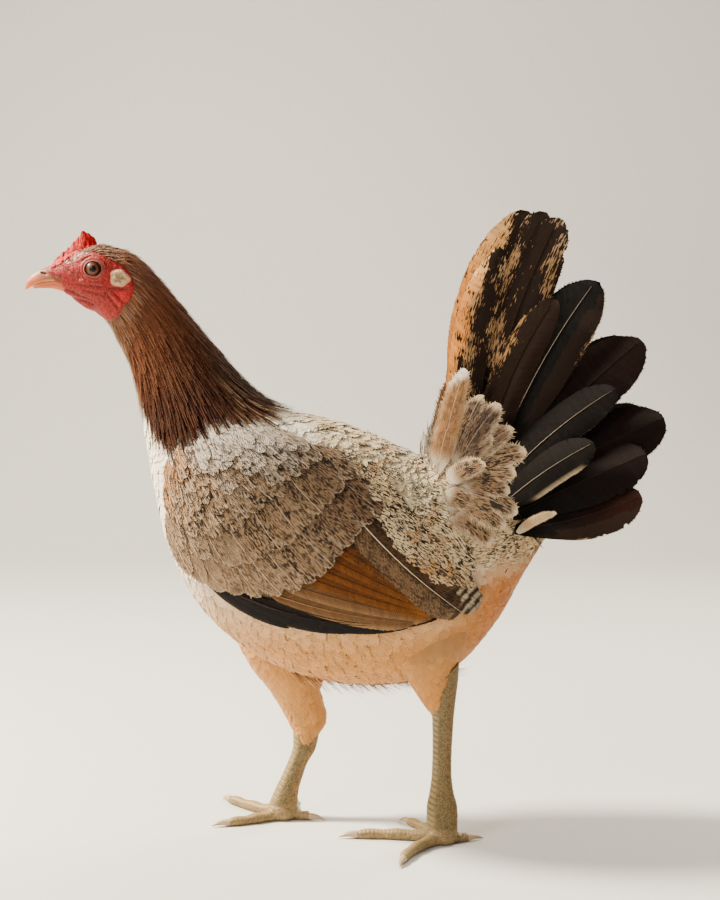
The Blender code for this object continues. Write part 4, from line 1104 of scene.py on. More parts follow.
# Tips of the folded wing's coverts in the side view, from the rear to the front of each row:
# the way they fall in degrees at both ends, length, width and how many.
COVERT_ROWS = {
    "greater": (((22.0, 219.0), (8.0, 208.0), (-3.0, 195.0), (-14.0, 183.0), (-29.0, 173.5), (-52.0, 169.5),
                 (-74.0, 173.5), (-90.0, 184.0)), (-44.0, -56.0), 46.0, 17.5, 15),
    "median": (((3.0, 239.0), (-12.0, 225.0), (-26.0, 211.0), (-41.0, 199.0), (-60.0, 191.0), (-80.0, 193.0),
                (-96.0, 201.0)), (-46.0, -60.0), 34.0, 16.5, 15),
    "lesser": (((-21.0, 248.0), (-37.0, 236.0), (-52.0, 223.0), (-67.0, 212.0), (-83.0, 207.0),
                (-99.0, 212.0)), (-48.0, -64.0), 28.0, 10.5, 17),
}
COVERT_TIERS, TIER_STEP = {"greater": 1, "median": 1, "lesser": 8}, 6.4  # rows of each, and their distance
COVERT_TOP = {"greater": 3.6, "median": 3.6, "lesser": 3.4}  # height of their tips over the wing
COVERT_STRAY = {"greater": 3.0, "median": 3.0, "lesser": 7.0}  # how much their directions stray


def covert_colour(batch):
    """Grey-brown with dark dashes; whiter at the shoulder, darker in the middle at the rear."""
    f, share, root, luck = batch["f"], batch["share"], batch["root"], batch["luck"]
    x, z = root[:, 0:1], root[:, 2:3]
    ragged = z + 6.0 * noise_at(root, 9.0, 6.0)[:, None] + 6.0 * (luck[:, 1:2] - 0.5)
    upper = smooth(ragged, 254.0, 273.0) * (1 - 0.85 * smooth(x, -70.0, -25.0))
    pale = np.clip(upper * 1.1 + 0.15 * (luck[:, 1:2] - 0.5), 0, 1)
    base = np.broadcast_to(blend(COVERT_GREY, SHOULDER_WHITE, pale), f.shape + (3,))
    rear = smooth(x, -60.0, -5.0)
    core = rear * 0.8 * (1 - smooth(share, 0.5, 0.9))
    base = blend(base, COVERT_CORE, core * (0.5 + luck[:, 2:3] * 0.5))
    front = (1 - smooth(x, -108.0, -96.0)) * smooth(z, 236.0, 248.0)
    base = blend(base, COVERT_RUST, front * 0.8 * smooth(luck[:, 2:3], 0.2, 0.7))
    middle = (1 - smooth(z, 205.0, 228.0) * 0.7) * (1 - rear)
    base = blend(base, COVERT_PALE, middle * 0.5 * (0.4 + luck[:, 2:3] * 0.6))
    edge = smooth(share, 0.70, 0.98) * smooth(f, 0.50, 0.80)
    base = blend(base, COVERT_EDGE, edge * (0.2 + 0.7 * luck[:, 1:2]))
    # Darker towards the root, where other coverts cover it: painted shade. The barbs differ at random.
    base = base * (0.90 + 0.10 * smooth(f, 0.2, 0.7) + 0.16 * (batch["barb"] - 0.4))[..., None]
    calm = 0.45 * (1 - smooth(x, -95.0, -60.0)) * (1 - smooth(z, 215.0, 235.0))
    spots = np.clip(0.98 + 0.3 * (luck[:, 0:1] - 0.5) - edge * 0.5 - 0.15 * upper - calm, 0, 1)
    return with_alpha(np.clip(base, 0, 1), np.broadcast_to(spots, f.shape))


def saddle_colour(batch):
    """Cream and buff feathers with dark dashes, where the saddle lies over the wing."""
    root, luck, f = batch["root"], batch["luck"], batch["f"]
    patchy = smooth(luck[:, 1] + 0.7 * noise_at(root, 14.0, 9.0), 0.35, 1.0)
    low = 1 - smooth(root[:, 2], 184.0, 206.0)
    base = blend(SADDLE_CREAM, SADDLE_RUST, np.clip(patchy * 0.6 + low * 0.45, 0, 1)[:, None])
    light = 0.84 + 0.12 * batch["share"] + 0.14 * (batch["barb"] - 0.5) + 0.08 * (luck[:, 2:3] - 0.5)
    return with_alpha(base * light[..., None], np.clip(0.9 + 0.2 * luck[:, 0:1], 0, 1) + 0 * f)


# Quills in the side view, from the lowest layer up: root, tip, widths above and below the
# shaft, bow, lift of the tip and colouring.
QUILLS = (
    ((-99.0, 191.0), (-28.0, 155.5), (6.0, 3.0), -5.8, 0.2, "edge"),
    ((-84.0, 179.0), (10.0, 151.0), (7.5, 3.4), -8.0, 0.4, "primary"),
    ((-66.0, 169.0), (42.0, 150.5), (8.0, 3.6), -8.2, 0.7, "primary"),
    ((-50.0, 167.0), (60.0, 153.0), (8.0, 3.8), -8.6, 1.0, "primary"),
    ((-52.0, 172.0), (44.0, 150.5), (6.5, 6.5), -3.5, 1.4, "pale"),
    ((-46.0, 180.0), (56.0, 153.5), (7.0, 8.0), -2.5, 1.7, "sand"),
    ((-38.0, 186.0), (58.0, 155.0), (7.0, 8.0), -1.5, 2.0, "cinnamon"),
    ((-30.0, 192.0), (59.0, 156.0), (7.0, 8.0), -0.5, 2.2, "cinnamon"),
    ((-22.0, 199.0), (60.0, 157.0), (7.0, 8.5), 0.0, 2.4, "cinnamon"),
    ((-14.0, 206.0), (61.0, 158.0), (7.0, 9.0), 0.5, 2.6, "dusky"),
    ((14.0, 226.0), (90.5, 163.5), (6.0, 9.0), 0.5, 2.6, "barred"),
    ((10.0, 224.0), (88.5, 159.5), (6.5, 9.0), -0.5, 2.9, "barred"),
    ((5.0, 226.0), (85.0, 156.5), (7.5, 9.0), -1.5, 3.1, "barred"),
    ((-2.0, 229.0), (75.0, 155.0), (10.0, 14.5), -3.2, 3.5, "tertial"),
)


def quill_colour(kind):
    """Colours of a quill by its kind; above the shaft the half width is positive."""

    def colour(batch):
        f, w, barb = batch["f"], batch["w"], batch["barb"]
        shape = f.shape + (3,)
        flecks = np.zeros(f.shape)
        if kind in ("primary", "edge"):
            base = np.broadcast_to(BLACK, shape)
            pale = smooth(-w, 0.6, 1.0) * (0.7 if kind == "edge" else 0.15)
            base = blend(base, PRIMARY_EDGE, pale)
        elif kind in ("sand", "pale"):
            base = blend(SAND, SAND_EDGE, smooth(-w, 0.2, 1.0))
            line = np.exp(-(((w - 0.15 - 0.25 * f) / 0.06) ** 2)) * smooth(f, 0.1, 0.3)
            base = blend(base, SAND_LINE, line * (0.7 if kind == "sand" else 0.0))
            flecks = 0.35 * smooth(w, 0.0, 0.9)
        elif kind in ("cinnamon", "dusky"):
            base = blend(CINNAMON, CINNAMON_DARK, smooth(w, -0.5, 0.9) * 0.85)
            base = blend(base, CINNAMON_EDGE, smooth(-w, 0.2, 1.0) * 0.75)
            flecks = (0.7 if kind == "dusky" else 0.2) * (1 - smooth(f, 0.5, 0.8))
        else:
            dark, pale = TERTIAL_DARK, TERTIAL_PALE
            lower = smooth(-w, 0.0, 0.08) if kind == "tertial" else 0.12 * smooth(-w, 0.3, 0.9)
            base = blend(dark, pale, lower)
            base = blend(base, TERTIAL_EDGE, 0.55 * smooth(w, 0.82, 1.0))
            down = batch["root"][:, 0:1] * 0.76 - batch["root"][:, 2:3] * 0.65 + f * batch["length"][:, None]
            bars = smooth(np.sin(down * 2 * math.pi / 5.6 - w * 0.9), -0.25, 0.25)
            tip = smooth(f, 0.78, 0.84) if kind == "barred" else smooth(f, 0.94, 0.99)
            base = blend(base, BAR_PALE, tip * bars * 0.9)
            base = blend(base, BAR_DARK, tip * (1 - bars) * 0.95)
            flecks = (1.0 - 0.25 * lower) * (1 - 0.8 * tip)
        base = base * (0.82 + 0.36 * barb)[..., None]
        return with_alpha(np.clip(base, 0, 1), flecks)

    return colour


SHAFTS = {
    "primary": (0.020, 0.014, 0.011), "edge": (0.09, 0.055, 0.035), "pale": (0.26, 0.17, 0.095),
    "sand": (0.15, 0.085, 0.042), "cinnamon": (0.085, 0.032, 0.009), "dusky": (0.07, 0.032, 0.014),
    "barred": (0.030, 0.018, 0.011), "tertial": (0.60, 0.50, 0.38),
}


def shaft_tube(points, radius, colour, place):
    """The shaft of a large feather: a thin closed tube through points."""
    sides = 5
    ahead = unit(np.gradient(points, axis=0))
    up = unit(np.cross(ahead, np.array([0.3, 0.8, 0.2])))
    across = np.cross(ahead, up)
    turns = np.arange(sides) * 2 * math.pi / sides
    size = radius * np.linspace(1.0, 0.25, len(points))
    rings = points[:, None] + (np.cos(turns)[None, :, None] * up[:, None] + np.sin(turns)[None, :, None]
                               * across[:, None]) * size[:, None, None]
    count = len(points) * sides
    ends = np.array([(k, k + i, k + i + 1) for k in (0, count - sides) for i in range(1, sides - 1)])
    return {
        "points": rings.reshape(-1, 3), "tint": plain(np.broadcast_to(colour, (count, 3))),
        "form": np.tile([0.0, 0.9, 0.0], (count, 1)), "uv": np.tile(place, (count, 1)),
        "faces": [ring_quads(len(points), sides), ends],
    }


def quill_lift(top):
    """A lift from under the coverts to the tip's own height, lower at the edges."""
    return lambda batch: -0.6 + (top + 0.6) * batch["f"] ** 0.7 - 0.5 * batch["w"] ** 2


def wing_uv(x, z):
    left, right, low, high = WING_PATCH
    return np.stack([(x - left) / (right - left), (z - low) / (high - low)], -1)


def wing(side, covert_look, quill_look, body_look):
    """A folded wing: its pad, the quills from the lowest up, and the rows of coverts over them."""
    name = SIDES[side]
    chart = side_chart(BODY_GRID, side, wing_lift)
    chart.hand = -side
    wing_pad(side, quill_look)
    coat(f"quills_{name}", wing_quills(chart), quill_look, (f"wing_{name}",))
    coat(f"coverts_{name}", wing_coverts(chart), covert_look)
    coat(f"saddle_edge_{name}", saddle_edge(chart), body_look)


def wing_quills(chart):
    """The large feathers and their shafts, from the lowest up."""
    laid = []
    for root, tip, widths, bow, lift, kind in QUILLS:
        root, tip = np.array(root), np.array(tip)
        length = np.array([np.linalg.norm(tip - root)])
        way = np.array([[tip[0] - root[0], 0.0, tip[1] - root[1]]]) / length
        vane = PRIMARY_VANE if kind in ("primary", "edge") else QUILL_VANE
        laid.append(lay(chart, root[:1], root[1:], way, length, np.array([widths]), vane, quill_lift(lift),
                        quill_colour(kind), 0.02, WING_PATCH, bow))
        f = np.linspace(0.02, 0.97, 16)
        u, v = root[0] + (tip[0] - root[0]) * f, root[1] + (tip[1] - root[1]) * f
        aside = bow * 4 * f * (1 - f)
        u, v = u - way[0, 2] * aside, v + way[0, 0] * aside
        line = chart.raised(u, v, -0.35 + (lift + 0.6) * f**0.7)
        laid.append(shaft_tube(line, 0.55 if kind == "tertial" else 0.4, SHAFTS[kind], wing_uv(*root)))
    return laid


def fall_way(fall):
    """Directions at angles of the side view, in two and in three dimensions."""
    run = np.stack([np.cos(fall), np.sin(fall)], axis=-1)
    return run, np.stack([run[:, 0], 0 * fall, run[:, 1]], axis=-1)


def wing_coverts(chart):
    """Rows of coverts, each over the one before it."""
    laid = []
    for row, (tips, falls, length, width, count) in COVERT_ROWS.items():
        stray = COVERT_STRAY[row]
        for tier in range(COVERT_TIERS[row]):
            number = count if tier == 0 else count + 2
            s = (np.arange(number) + 0.5 * (tier % 2)) / (number - 1)
            tip = spline(tips, s * (len(tips) - 1))
            fall = falls[0] + (falls[1] - falls[0]) * s + DRAW.uniform(-stray, stray, number)
            run, way = fall_way(np.radians(fall))
            size = length * (1 - 0.05 * tier) * DRAW.uniform(0.93, 1.07, number)
            tip = tip - run * TIER_STEP * tier + DRAW.uniform(-0.25, 0.25, (number, 2)) * stray
            root = tip - run * size[:, None]
            good = inside_by(WING_HIDES, tip[:, 0], tip[:, 1]) > 0.5
            rise = hug(depth=0.9, tip=COVERT_TOP[row] - 0.2 * tier, camber=0.45, spread=0.4)
            wide = np.full(number, width * (1 - 0.03 * tier))
            laid.append(lay(chart, root[good, 0], root[good, 1], way[good], size[good], wide[good],
                            COVERT_VANE, rise, covert_colour, 0.035, WING_PATCH, -1.0))
    return laid


# How far the saddle's feathers reach down over the wing's upper edge: x and depth.
SADDLE_REACH = (10.0, 20.0, 31.0, 42.0, 55.0, 66.0, 80.0), (-6.0, -5.0, 3.0, 6.0, 10.0, 6.0, -2.4)


def saddle_edge(chart):
    """The saddle's feathers that lie over the wing, from the lowest row up."""
    laid = []
    for tier in range(6):
        x = np.arange(8.0, 86.0, 4.4)
        x = x + DRAW.uniform(-2.0, 2.0, len(x))
        edge = np.interp(x, *zip(*WING_UPPER)) - np.interp(x, *SADDLE_REACH)
        run, way = fall_way(np.radians(-38.0 + DRAW.uniform(-9, 9, len(x))))
        size = DRAW.uniform(20.0, 26.0, len(x))
        tip = np.stack([x, edge + 4.0 * tier + DRAW.uniform(-2.0, 2.0, len(x))], -1)
        root = tip - run * size[:, None]
        low = root[:, 1] < 244.0
        rise = hug(depth=1.2, tip=4.4 - 0.75 * tier, camber=0.4, spread=0.5)
        laid.append(lay(chart, root[low, 0], root[low, 1], way[low], size[low], size[low] * 0.40,
                        COVERT_VANE, rise, saddle_colour, 0.06, WING_PATCH))
    return laid


def wing_pad(side, look):
    """The wing's body under its feathers."""
    columns, rows = 60, 18
    s, k = np.meshgrid(np.linspace(0, 10, columns), np.linspace(0, 1, rows), indexing="ij")
    upper, lower = spline(WING_UPPER, s), spline(WING_LOWER, s)
    line = upper + (lower - upper) * k[..., None]
    edge = np.minimum(np.minimum(k, 1 - k) * 6, np.minimum(s, 10 - s) * 1.2)
    chart = side_chart(BODY_GRID, side)
    x, z = line[..., 0], line[..., 1]
    points = chart.raised(x, z, -2.5 + (wing_lift(x, z) + 1.7) * smooth(edge, 0, 1)).reshape(-1, 3)
    tint = with_alpha(np.broadcast_to(PAD_BROWN, (len(points), 3)), np.full(len(points), 0.4))
    form = np.stack([points[:, 0], points[:, 2], 0 * points[:, 0]], -1)
    make_object(f"wing_pad_{SIDES[side]}", points, [sheet_quads(columns, rows)], look, (),
                tint, form, wing_uv(points[:, 0], points[:, 2]))


# The tail as the solids have it: root, tip, width, distance from the middle at root and tip,
# tilt in degrees and bow.
TAIL = (
    ((84.0, 232.0), (117.0, 416.0), 37.0, 3.0, 7.0, 6.0, 17.0),
    ((88.0, 230.0), (139.0, 411.0), 37.0, 5.0, 11.0, 10.0, 10.0),
    ((91.0, 226.0), (163.0, 370.0), 41.0, 7.0, 17.0, 14.0, 7.0),
    ((94.0, 222.0), (192.0, 331.0), 42.0, 9.0, 23.0, 18.0, 6.0),
    ((97.0, 217.0), (206.0, 281.0), 41.0, 11.0, 30.0, 21.0, 4.0),
    ((100.0, 211.0), (194.0, 258.0), 37.0, 13.0, 36.0, 24.0, 1.0),
    ((103.0, 205.0), (190.0, 231.0), 32.0, 15.0, 41.0, 26.0, -4.0),
)
TAIL_COVERTS = (
    ((82.0, 240.0), (101.0, 392.0), 25.0, 6.0, 13.5, 8.0, 12.0),
    ((88.0, 234.0), (136.0, 358.0), 26.0, 9.0, 18.0, 13.0, 8.0),
    ((94.0, 227.0), (175.0, 300.0), 27.0, 12.0, 29.0, 19.0, 5.0),
    ((98.0, 218.0), (160.0, 265.0), 25.0, 15.0, 35.0, 23.0, 3.0),
)
TAIL_EXTRA = (((86.0, 231.0), (129.0, 415.0), 35.0, 4.0, 9.0, 8.0, 13.0),)  # closes the two tall tips
# Soft feathers over the tail's root: root, tip, width, how far the tip stands out and colouring.
TAIL_SMALL = (
    ((60.0, 243.0), (70.5, 286.0), 17.0, 4.0, "golden"),
    ((62.0, 244.0), (77.0, 313.0), 19.0, 6.0, "golden"),
    ((70.0, 246.0), (88.0, 296.0), 19.0, 6.0, "grey"),
    ((70.0, 244.0), (99.5, 290.5), 22.0, 8.0, "dark"),
    ((70.0, 243.0), (108.0, 275.0), 19.0, 8.0, "grey"),
    ((71.0, 242.0), (116.5, 260.0), 21.0, 10.0, "peppered"),
    ((70.0, 240.0), (110.0, 246.0), 20.0, 10.0, "peppered"),
    ((68.0, 238.0), (106.0, 234.0), 19.0, 11.0, "peppered"),
    ((64.0, 238.0), (90.0, 252.0), 16.0, 10.0, "peppered"),
    ((66.0, 235.0), (111.0, 220.0), 20.0, 12.0, "peppered"),
    ((64.0, 230.0), (103.0, 211.0), 20.0, 12.0, "peppered"),
    ((62.0, 226.0), (94.0, 200.0), 20.0, 11.0, "peppered"),
    ((60.0, 232.0), (84.0, 222.0), 16.0, 9.0, "peppered"),
    ((110.0, 202.0), (136.0, 220.0), 7.5, 18.0, "pale"),
)
# Tufts of fluff at the tail's root: root, direction in degrees and its spread, length and how many.
FLUFF = (
    ((57.0, 246.0), 86.0, 9.0, 26.0, 70),
    ((61.0, 244.0), 78.0, 11.0, 24.0, 60),
    ((64.0, 241.0), 52.0, 16.0, 20.0, 44),
    ((66.0, 235.0), 14.0, 20.0, 18.0, 34),
    ((62.0, 228.0), -20.0, 18.0, 16.0, 20),
)
SMALL_TINTS = {"white": (0.54, 0.46, 0.36), "golden": (0.27, 0.150, 0.062), "grey": (0.15, 0.098, 0.062),
               "dark": (0.075, 0.046, 0.028), "peppered": (0.26, 0.175, 0.102), "pale": (0.42, 0.30, 0.18)}


def broad_outline(f):
    return vane_outline(f, 0.22, 0.62, 0.74)


def blunt_outline(f):
    return vane_outline(f, 0.35, 0.4, 0.72)


QUILL_VANE = vane_template(64, (0.3, 0.65, 0.92), 0.10, lambda f: vane_outline(f, 0.5, 0.3, 0.8))
PRIMARY_VANE = vane_template(64, (0.3, 0.65, 0.92), 0.10, lambda f: vane_outline(f, 0.5, 0.3, 0.35))
TAIL_VANE = vane_template(150, (0.25, 0.5, 0.75, 0.965), 0.14, broad_outline)
TAIL_COVERT_VANE = vane_template(96, (0.35, 0.7, 0.95), 0.13, blunt_outline)
FLUFF_VANE = vane_template(14, (0.3,), 0.5, pointed_outline)
SMALL_TAIL_VANE = vane_template(56, (0.4, 0.75), 0.26, lambda f: vane_outline(f, 0.5, 0.45, 0.62))


def tail_colour(kind, number, f, w, barb):
    """Colours of a tail feather: w is above zero towards the front edge.

    Alpha is how much of the vane the dark streaks cover.
    """
    streaks = np.zeros(f.shape)
    drift = 0.16 * np.sin(f * 8 - w * 5 + 1.7 * number) + 0.10 * np.sin(f * 21 + 3 * w + number)
    if kind == "main" and number < 2 or kind == "extra" or kind == "covert" and number == 0:
        base = blend(TAIL_BROWN, TAIL_TIP, smooth(f, 0.80, 1.0))
        streaks = 0.72 + 1.2 * drift - 0.12 * smooth(f, 0.93, 1.0) + 0.10 * (number == 1)
        if number == 0 and kind != "extra":
            inner = 0.02 if kind == "main" else 0.18
            wavy = w + 0.12 * np.sin(f * 23) + 0.10 * (barb - 0.5)
            gold = smooth(wavy, inner, inner + 0.22) * smooth(f, 0.05, 0.2)
            base = blend(base, blend(TAIL_GOLD, TAIL_GOLD_TIP, smooth(f, 0.7, 1.0)), gold)
            streaks = streaks * (1 - gold) + gold * (0.44 + 0.4 * drift - 0.12 * smooth(w, 0.4, 0.9))
        if number == 1:
            rear = smooth(-w, 0.45, 0.7) * smooth(f, 0.2, 0.35) * (1 - smooth(f, 0.72, 0.85))
            streaks = streaks - 0.30 * rear
    elif kind == "main":
        brown = (0.0, 0.0, 0.0, 0.5, 0.3, 0.3, 1.0)[number]
        base = blend(JET, UMBER, brown * smooth(f, 0.3, 0.9))
        cloud = smooth(np.sin(f * 14 + 2.1 * number) + np.sin(f * 6.1 + number), -0.2, 1.2)
        if number in (2, 6):
            base = blend(base, TAIL_REAR, smooth(-w, 0.6, 0.7))
            streaks = np.where(w < -0.4, 1.0 - 0.55 * smooth(-w, 0.72, 0.95) * (0.3 + 0.7 * cloud), 0.0)
    else:
        base = blend(JET, TAIL_DUSKY, np.full(f.shape, 1.0 if number < 2 else 0.1))
        if number == 1:
            base = blend(base, TAIL_SAND, smooth(w, 0.05, 0.2))
            streaks = 1.0 - 0.48 * smooth(w, 0.3, 0.95) + drift * smooth(w, 0.1, 0.4)
            streaks = np.where(w > -0.02, streaks, 0.0)
        else:
            width = 0.86 if number == 3 else 0.95
            rim = smooth(-w, width, width + 0.12) * smooth(f, 0.15, 0.5)
            base = blend(base, TAIL_RIM, rim * 0.85)
    base = base * (0.82 + 0.36 * barb)[..., None]
    return with_alpha(np.clip(base, 0, 1), np.clip(streaks, 0, 1))


def tail_feather(side, row, template, kind, number, cell):
    """One feather of the tail in its own tilted plane, and its shaft."""
    root, tip, width, y_root, y_tip, tilt, bow = row
    root, tip = np.array(root), np.array(tip)
    length = np.linalg.norm(tip - root)
    run = (tip - root) / length
    upward = np.array([-run[1], run[0]])
    lean = math.radians(tilt)

    def place(f, a, lift):
        xz = root + (tip - root) * f[..., None] + upward * (bow * 4 * f * (1 - f))[..., None]
        xz = xz + upward * (a * math.cos(lean) + lift * math.sin(lean))[..., None]
        y = y_root + (y_tip - y_root) * f - a * math.sin(lean) + lift * math.cos(lean)
        return np.stack([xz[..., 0], side * np.maximum(y, 0.3), xz[..., 1]], axis=-1)

    f, w, share, barb, quads, tris = template
    luck = DRAW.random(int(barb.max()) + 1)
    parted = np.interp(f, np.linspace(0, 1, 14), DRAW.normal(0.0, 1.0, 14)) * share**2
    rough = DRAW.normal(0.0, 0.012, len(f)) * (share == 1)
    along = np.clip(f + rough * 0.5 + 0.004 * parted, 0, 1)
    gaps = smooth(np.repeat(DRAW.random(40), 4)[np.clip(barb, 0, 159)], 0.86, 0.97) * (kind == "main")
    across = w * (1 + rough) * (1 - 0.10 * gaps * smooth(share, 0.7, 1.0) * smooth(f, 0.55, 0.8))
    lift = 1.9 * (1 - across**2) - 0.6 + 0.35 * parted
    points = place(along, across * width / 2, lift)
    tint = tail_colour(kind, number, along, across, luck[barb])
    form = np.stack([along * length, across * width / 2, np.full(len(f), DRAW.random() * SEEDS)], axis=-1)
    x0, y0, size = cell
    uv = np.stack([x0 + size * along, y0 + size * (0.5 + 0.45 * across)], axis=-1)
    laid = [{"points": points, "tint": tint, "form": form, "uv": uv, "faces": [quads, tris]}]
    s = np.linspace(0.0, 0.97, 18)
    pale = (kind, number) in (("main", 2), ("covert", 2), ("covert", 3))
    thick = 0.40 if kind == "main" else 0.26
    shade = SHAFT_PALE if pale else SHAFT_DARK
    laid.append(shaft_tube(place(s, 0 * s, 1.4 + 0 * s), thick, shade, (x0, y0)))
    return laid


def small_colour(kind):
    """Colours of a soft feather at the tail's root: a pale margin and a white base."""

    def colour(batch):
        f, w, share = batch["f"], batch["w"], batch["share"]
        shape = f.shape + (3,)
        base = np.broadcast_to(SMALL_TINTS[kind], shape)
        if kind != "white":
            margin = np.maximum(smooth(share, 0.5, 0.9) * smooth(f, 0.25, 0.6), smooth(f, 0.86, 0.97))
            base = blend(base, SMALL_MARGIN, margin * (0.35 if kind == "golden" else 0.85))
            shadow = smooth(batch["barb"], 0.6, 0.9) * 0.5 * (1 - margin) * (kind != "pale")
            base = blend(base, SMALL_SHADOW, shadow)
            base = blend(base, SMALL_ROOT, (1 - smooth(f, 0.10, 0.42)) * 0.8)
        if kind == "golden":
            base = blend(base, SMALL_TIP, smooth(f + 0.12 * w, 0.84, 0.95))
        base = base * (0.84 + 0.32 * batch["barb"])[..., None]
        flecks = smooth(f, 0.25, 0.5) * (0.5 if kind == "golden" else 1.0) * (kind != "pale")
        if kind != "white":
            flecks = flecks * (1 - 0.85 * margin)
        return with_alpha(np.clip(base, 0, 1), flecks)

    return colour


def tail_base(side):
    """Soft overlapping feathers, from the saddle out over the root of the tail."""
    laid = []
    for root, tip, width, out, kind in TAIL_SMALL:
        root, tip = np.array(root), np.array(tip)
        for copy in range(1 if kind in ("golden", "pale") else 2):
            start = root + DRAW.normal(0.0, 1.5, 2) * copy
            end = tip - (tip - root) * 0.22 * copy + DRAW.normal(0.0, 2.5, 2) * copy
            y0 = float(side_depth(BODY_GRID, start[:1], start[1:])[0]) - 2.0
            y1 = y0 * 0.55 + out + 8.0 - 2.0 * copy
            row = (start, end, width, y0, y1, 16.0, 2.5)
            laid.append(soft_feather(side, row, kind, SMALL_TAIL_VANE))
    for root, turn, spread, length, count in FLUFF:
        for _ in range(count):
            angle = math.radians(turn + DRAW.normal(0.0, spread))
            start = np.array(root) + DRAW.normal(0.0, 2.6, 2)
            end = start + np.array([math.cos(angle), math.sin(angle)]) * length * DRAW.uniform(0.6, 1.1)
            y0 = float(side_depth(BODY_GRID, start[:1], start[1:])[0]) * DRAW.uniform(0.2, 1.0)
            width, bow = DRAW.uniform(2.2, 4.2), DRAW.uniform(-2.0, 2.0)
            row = (start, end, width, y0 - 1.0, y0 * 0.8 + 4.0, 10.0, bow)
            laid.append(soft_feather(side, row, "white", FLUFF_VANE))
    return laid


def soft_feather(side, row, kind, template):
    """One soft feather from a point on the body to a tip that stands out over the tail."""
    root, tip, width, y0, y1, tilt, bow = row
    length = np.linalg.norm(tip - root)
    upward = np.array([-(tip - root)[1], (tip - root)[0]]) / length
    lean = math.radians(tilt)
    f, w, share, barb, quads, tris = template
    luck = DRAW.random(int(barb.max()) + 1)
    rough = DRAW.normal(0.0, 0.07 if width > 5.0 else 0.3, len(f)) * (share == 1)
    along = np.clip(f + rough * 0.4, 0, 1)
    across = w * (1 + rough)
    a = across * width / 2
    lift = 0.08 * width * (1 - across**2) * smooth(along, 0.0, 0.4)
    rise = bow * 4 * along * (1 - along) + a * math.cos(lean)
    xz = root + (tip - root) * along[:, None] + upward * rise[:, None]
    y = y0 + (y1 - y0) * along - a * math.sin(lean) + lift
    points = np.stack([xz[:, 0], side * np.maximum(y, 0.3), xz[:, 1]], -1)
    batch = {"f": along[None], "w": across[None], "share": share[None], "barb": luck[barb][None]}
    form = np.stack([along * length, a, np.full(len(f), DRAW.random() * SEEDS)], -1)
    uv = np.clip([0.5 + root[0] / 400, root[1] / 400] + np.stack([along - 0.5, across / 2], -1) * TUFT, 0, 1)
    tint = small_colour(kind)(batch)[0]
    return {"points": points, "tint": tint, "form": form, "uv": uv, "faces": [quads, tris]}


def tail(side, look, soft_look):
    """Half of the tail: its large feathers and coverts, and the soft feathers at its root."""
    name = SIDES[side]
    laid = []
    groups = (("main", TAIL, TAIL_VANE), ("extra", TAIL_EXTRA, TAIL_VANE),
              ("covert", TAIL_COVERTS, TAIL_COVERT_VANE))
    cells = itertools.count()
    for kind, rows, template in groups:
        for number, row in enumerate(rows):
            k = next(cells)
            laid += tail_feather(side, row, template, kind, number, ((k % 5) * 0.2, (k // 5) * 0.2, 0.19))
    coat(f"tail_feathers_{name}", laid, look, (f"tail_{name}",))
    coat(f"tail_base_{name}", tail_base(side), soft_look)


# The legs as the solids have them. Sections: front point, rear point, half width and distance
# from the middle. Toes: tip in the plan, radius at the root and bow, from the ball's place.
LEGS = {
    LEFT: {
        "thigh": ((28.0, 138.0, 84.0, 152.0, 15.0, 23.0), (34.0, 118.0, 79.0, 134.0, 15.5, 26.5),
                  (43.5, 103.5, 73.6, 120.0, 13.0, 29.0), (51.3, 91.8, 73.4, 113.0, 10.4, 29.4),
                  (55.8, 86.6, 73.0, 108.0, 8.2, 29.5)),
        "shank": ((48.5, 97.0, 73.8, 118.5, 11.4, 29.4), (55.8, 86.6, 73.2, 108.0, 8.0, 29.5),
                  (56.7, 78.0, 71.2, 91.0, 7.0, 29.3), (56.9, 68.0, 69.8, 72.0, 5.9, 29.1),
                  (56.8, 55.0, 69.2, 56.0, 5.6, 28.9), (56.2, 43.0, 69.4, 43.5, 5.9, 28.8),
                  (54.8, 33.0, 71.0, 33.0, 6.8, 28.7), (53.2, 24.0, 73.2, 24.0, 8.0, 28.6),
                  (53.4, 9.0, 73.4, 9.0, 8.4, 28.5)),
        "ball": (63.0, 28.5),
        "toes": {"middle": ((-5.0, 19.0), 4.3, 4.0), "outer": ((34.0, 82.0), 4.1, 6.0),
                 "inner": ((36.0, -21.0), 4.0, 2.0), "rear": ((91.0, 21.0), 3.9, 1.0)},
    },
    RIGHT: {
        "thigh": ((-80.0, 146.0, 0.0, 136.0, 17.0, 22.0), (-74.0, 121.5, -8.0, 112.0, 17.5, 25.0),
                  (-64.3, 103.9, -17.4, 94.0, 16.0, 27.0), (-55.6, 93.2, -16.6, 84.0, 13.6, 27.6),
                  (-48.6, 82.5, -14.2, 74.5, 11.4, 27.5), (-41.6, 69.8, -15.0, 66.0, 9.5, 27.5),
                  (-37.0, 60.4, -19.2, 60.0, 8.3, 27.2)),
        "shank": ((-37.0, 60.4, -19.2, 60.0, 7.7, 27.2), (-37.2, 50.0, -21.8, 49.0, 7.0, 27.2),
                  (-40.8, 39.5, -27.2, 39.5, 6.1, 27.1), (-45.2, 29.5, -30.8, 29.5, 6.4, 27.0),
                  (-50.0, 19.5, -33.4, 20.5, 7.6, 27.0), (-54.4, 9.0, -34.4, 9.0, 8.4, 27.0)),
        "ball": (-44.6, 27.0),
        "toes": {"middle": ((-90.0, 74.0), 4.3, 3.0), "outer": ((-42.0, 82.0), 4.0, -3.0),
                 "inner": ((-92.0, 6.0), 4.1, 3.0), "rear": ((-15.0, 20.0), 3.9, 1.0)},
    },
}
BALL_RADII, BALL_HEIGHT = (10.8, 9.8, 8.2), 5.9
CLAW_LENGTH = 11.0
FOOT_VOXEL = 0.55
SHANK_PLATE, TOE_PLATE, PEBBLE = 3.7, 2.7, 1.35  # lengths of the scales in front, on the toes and behind


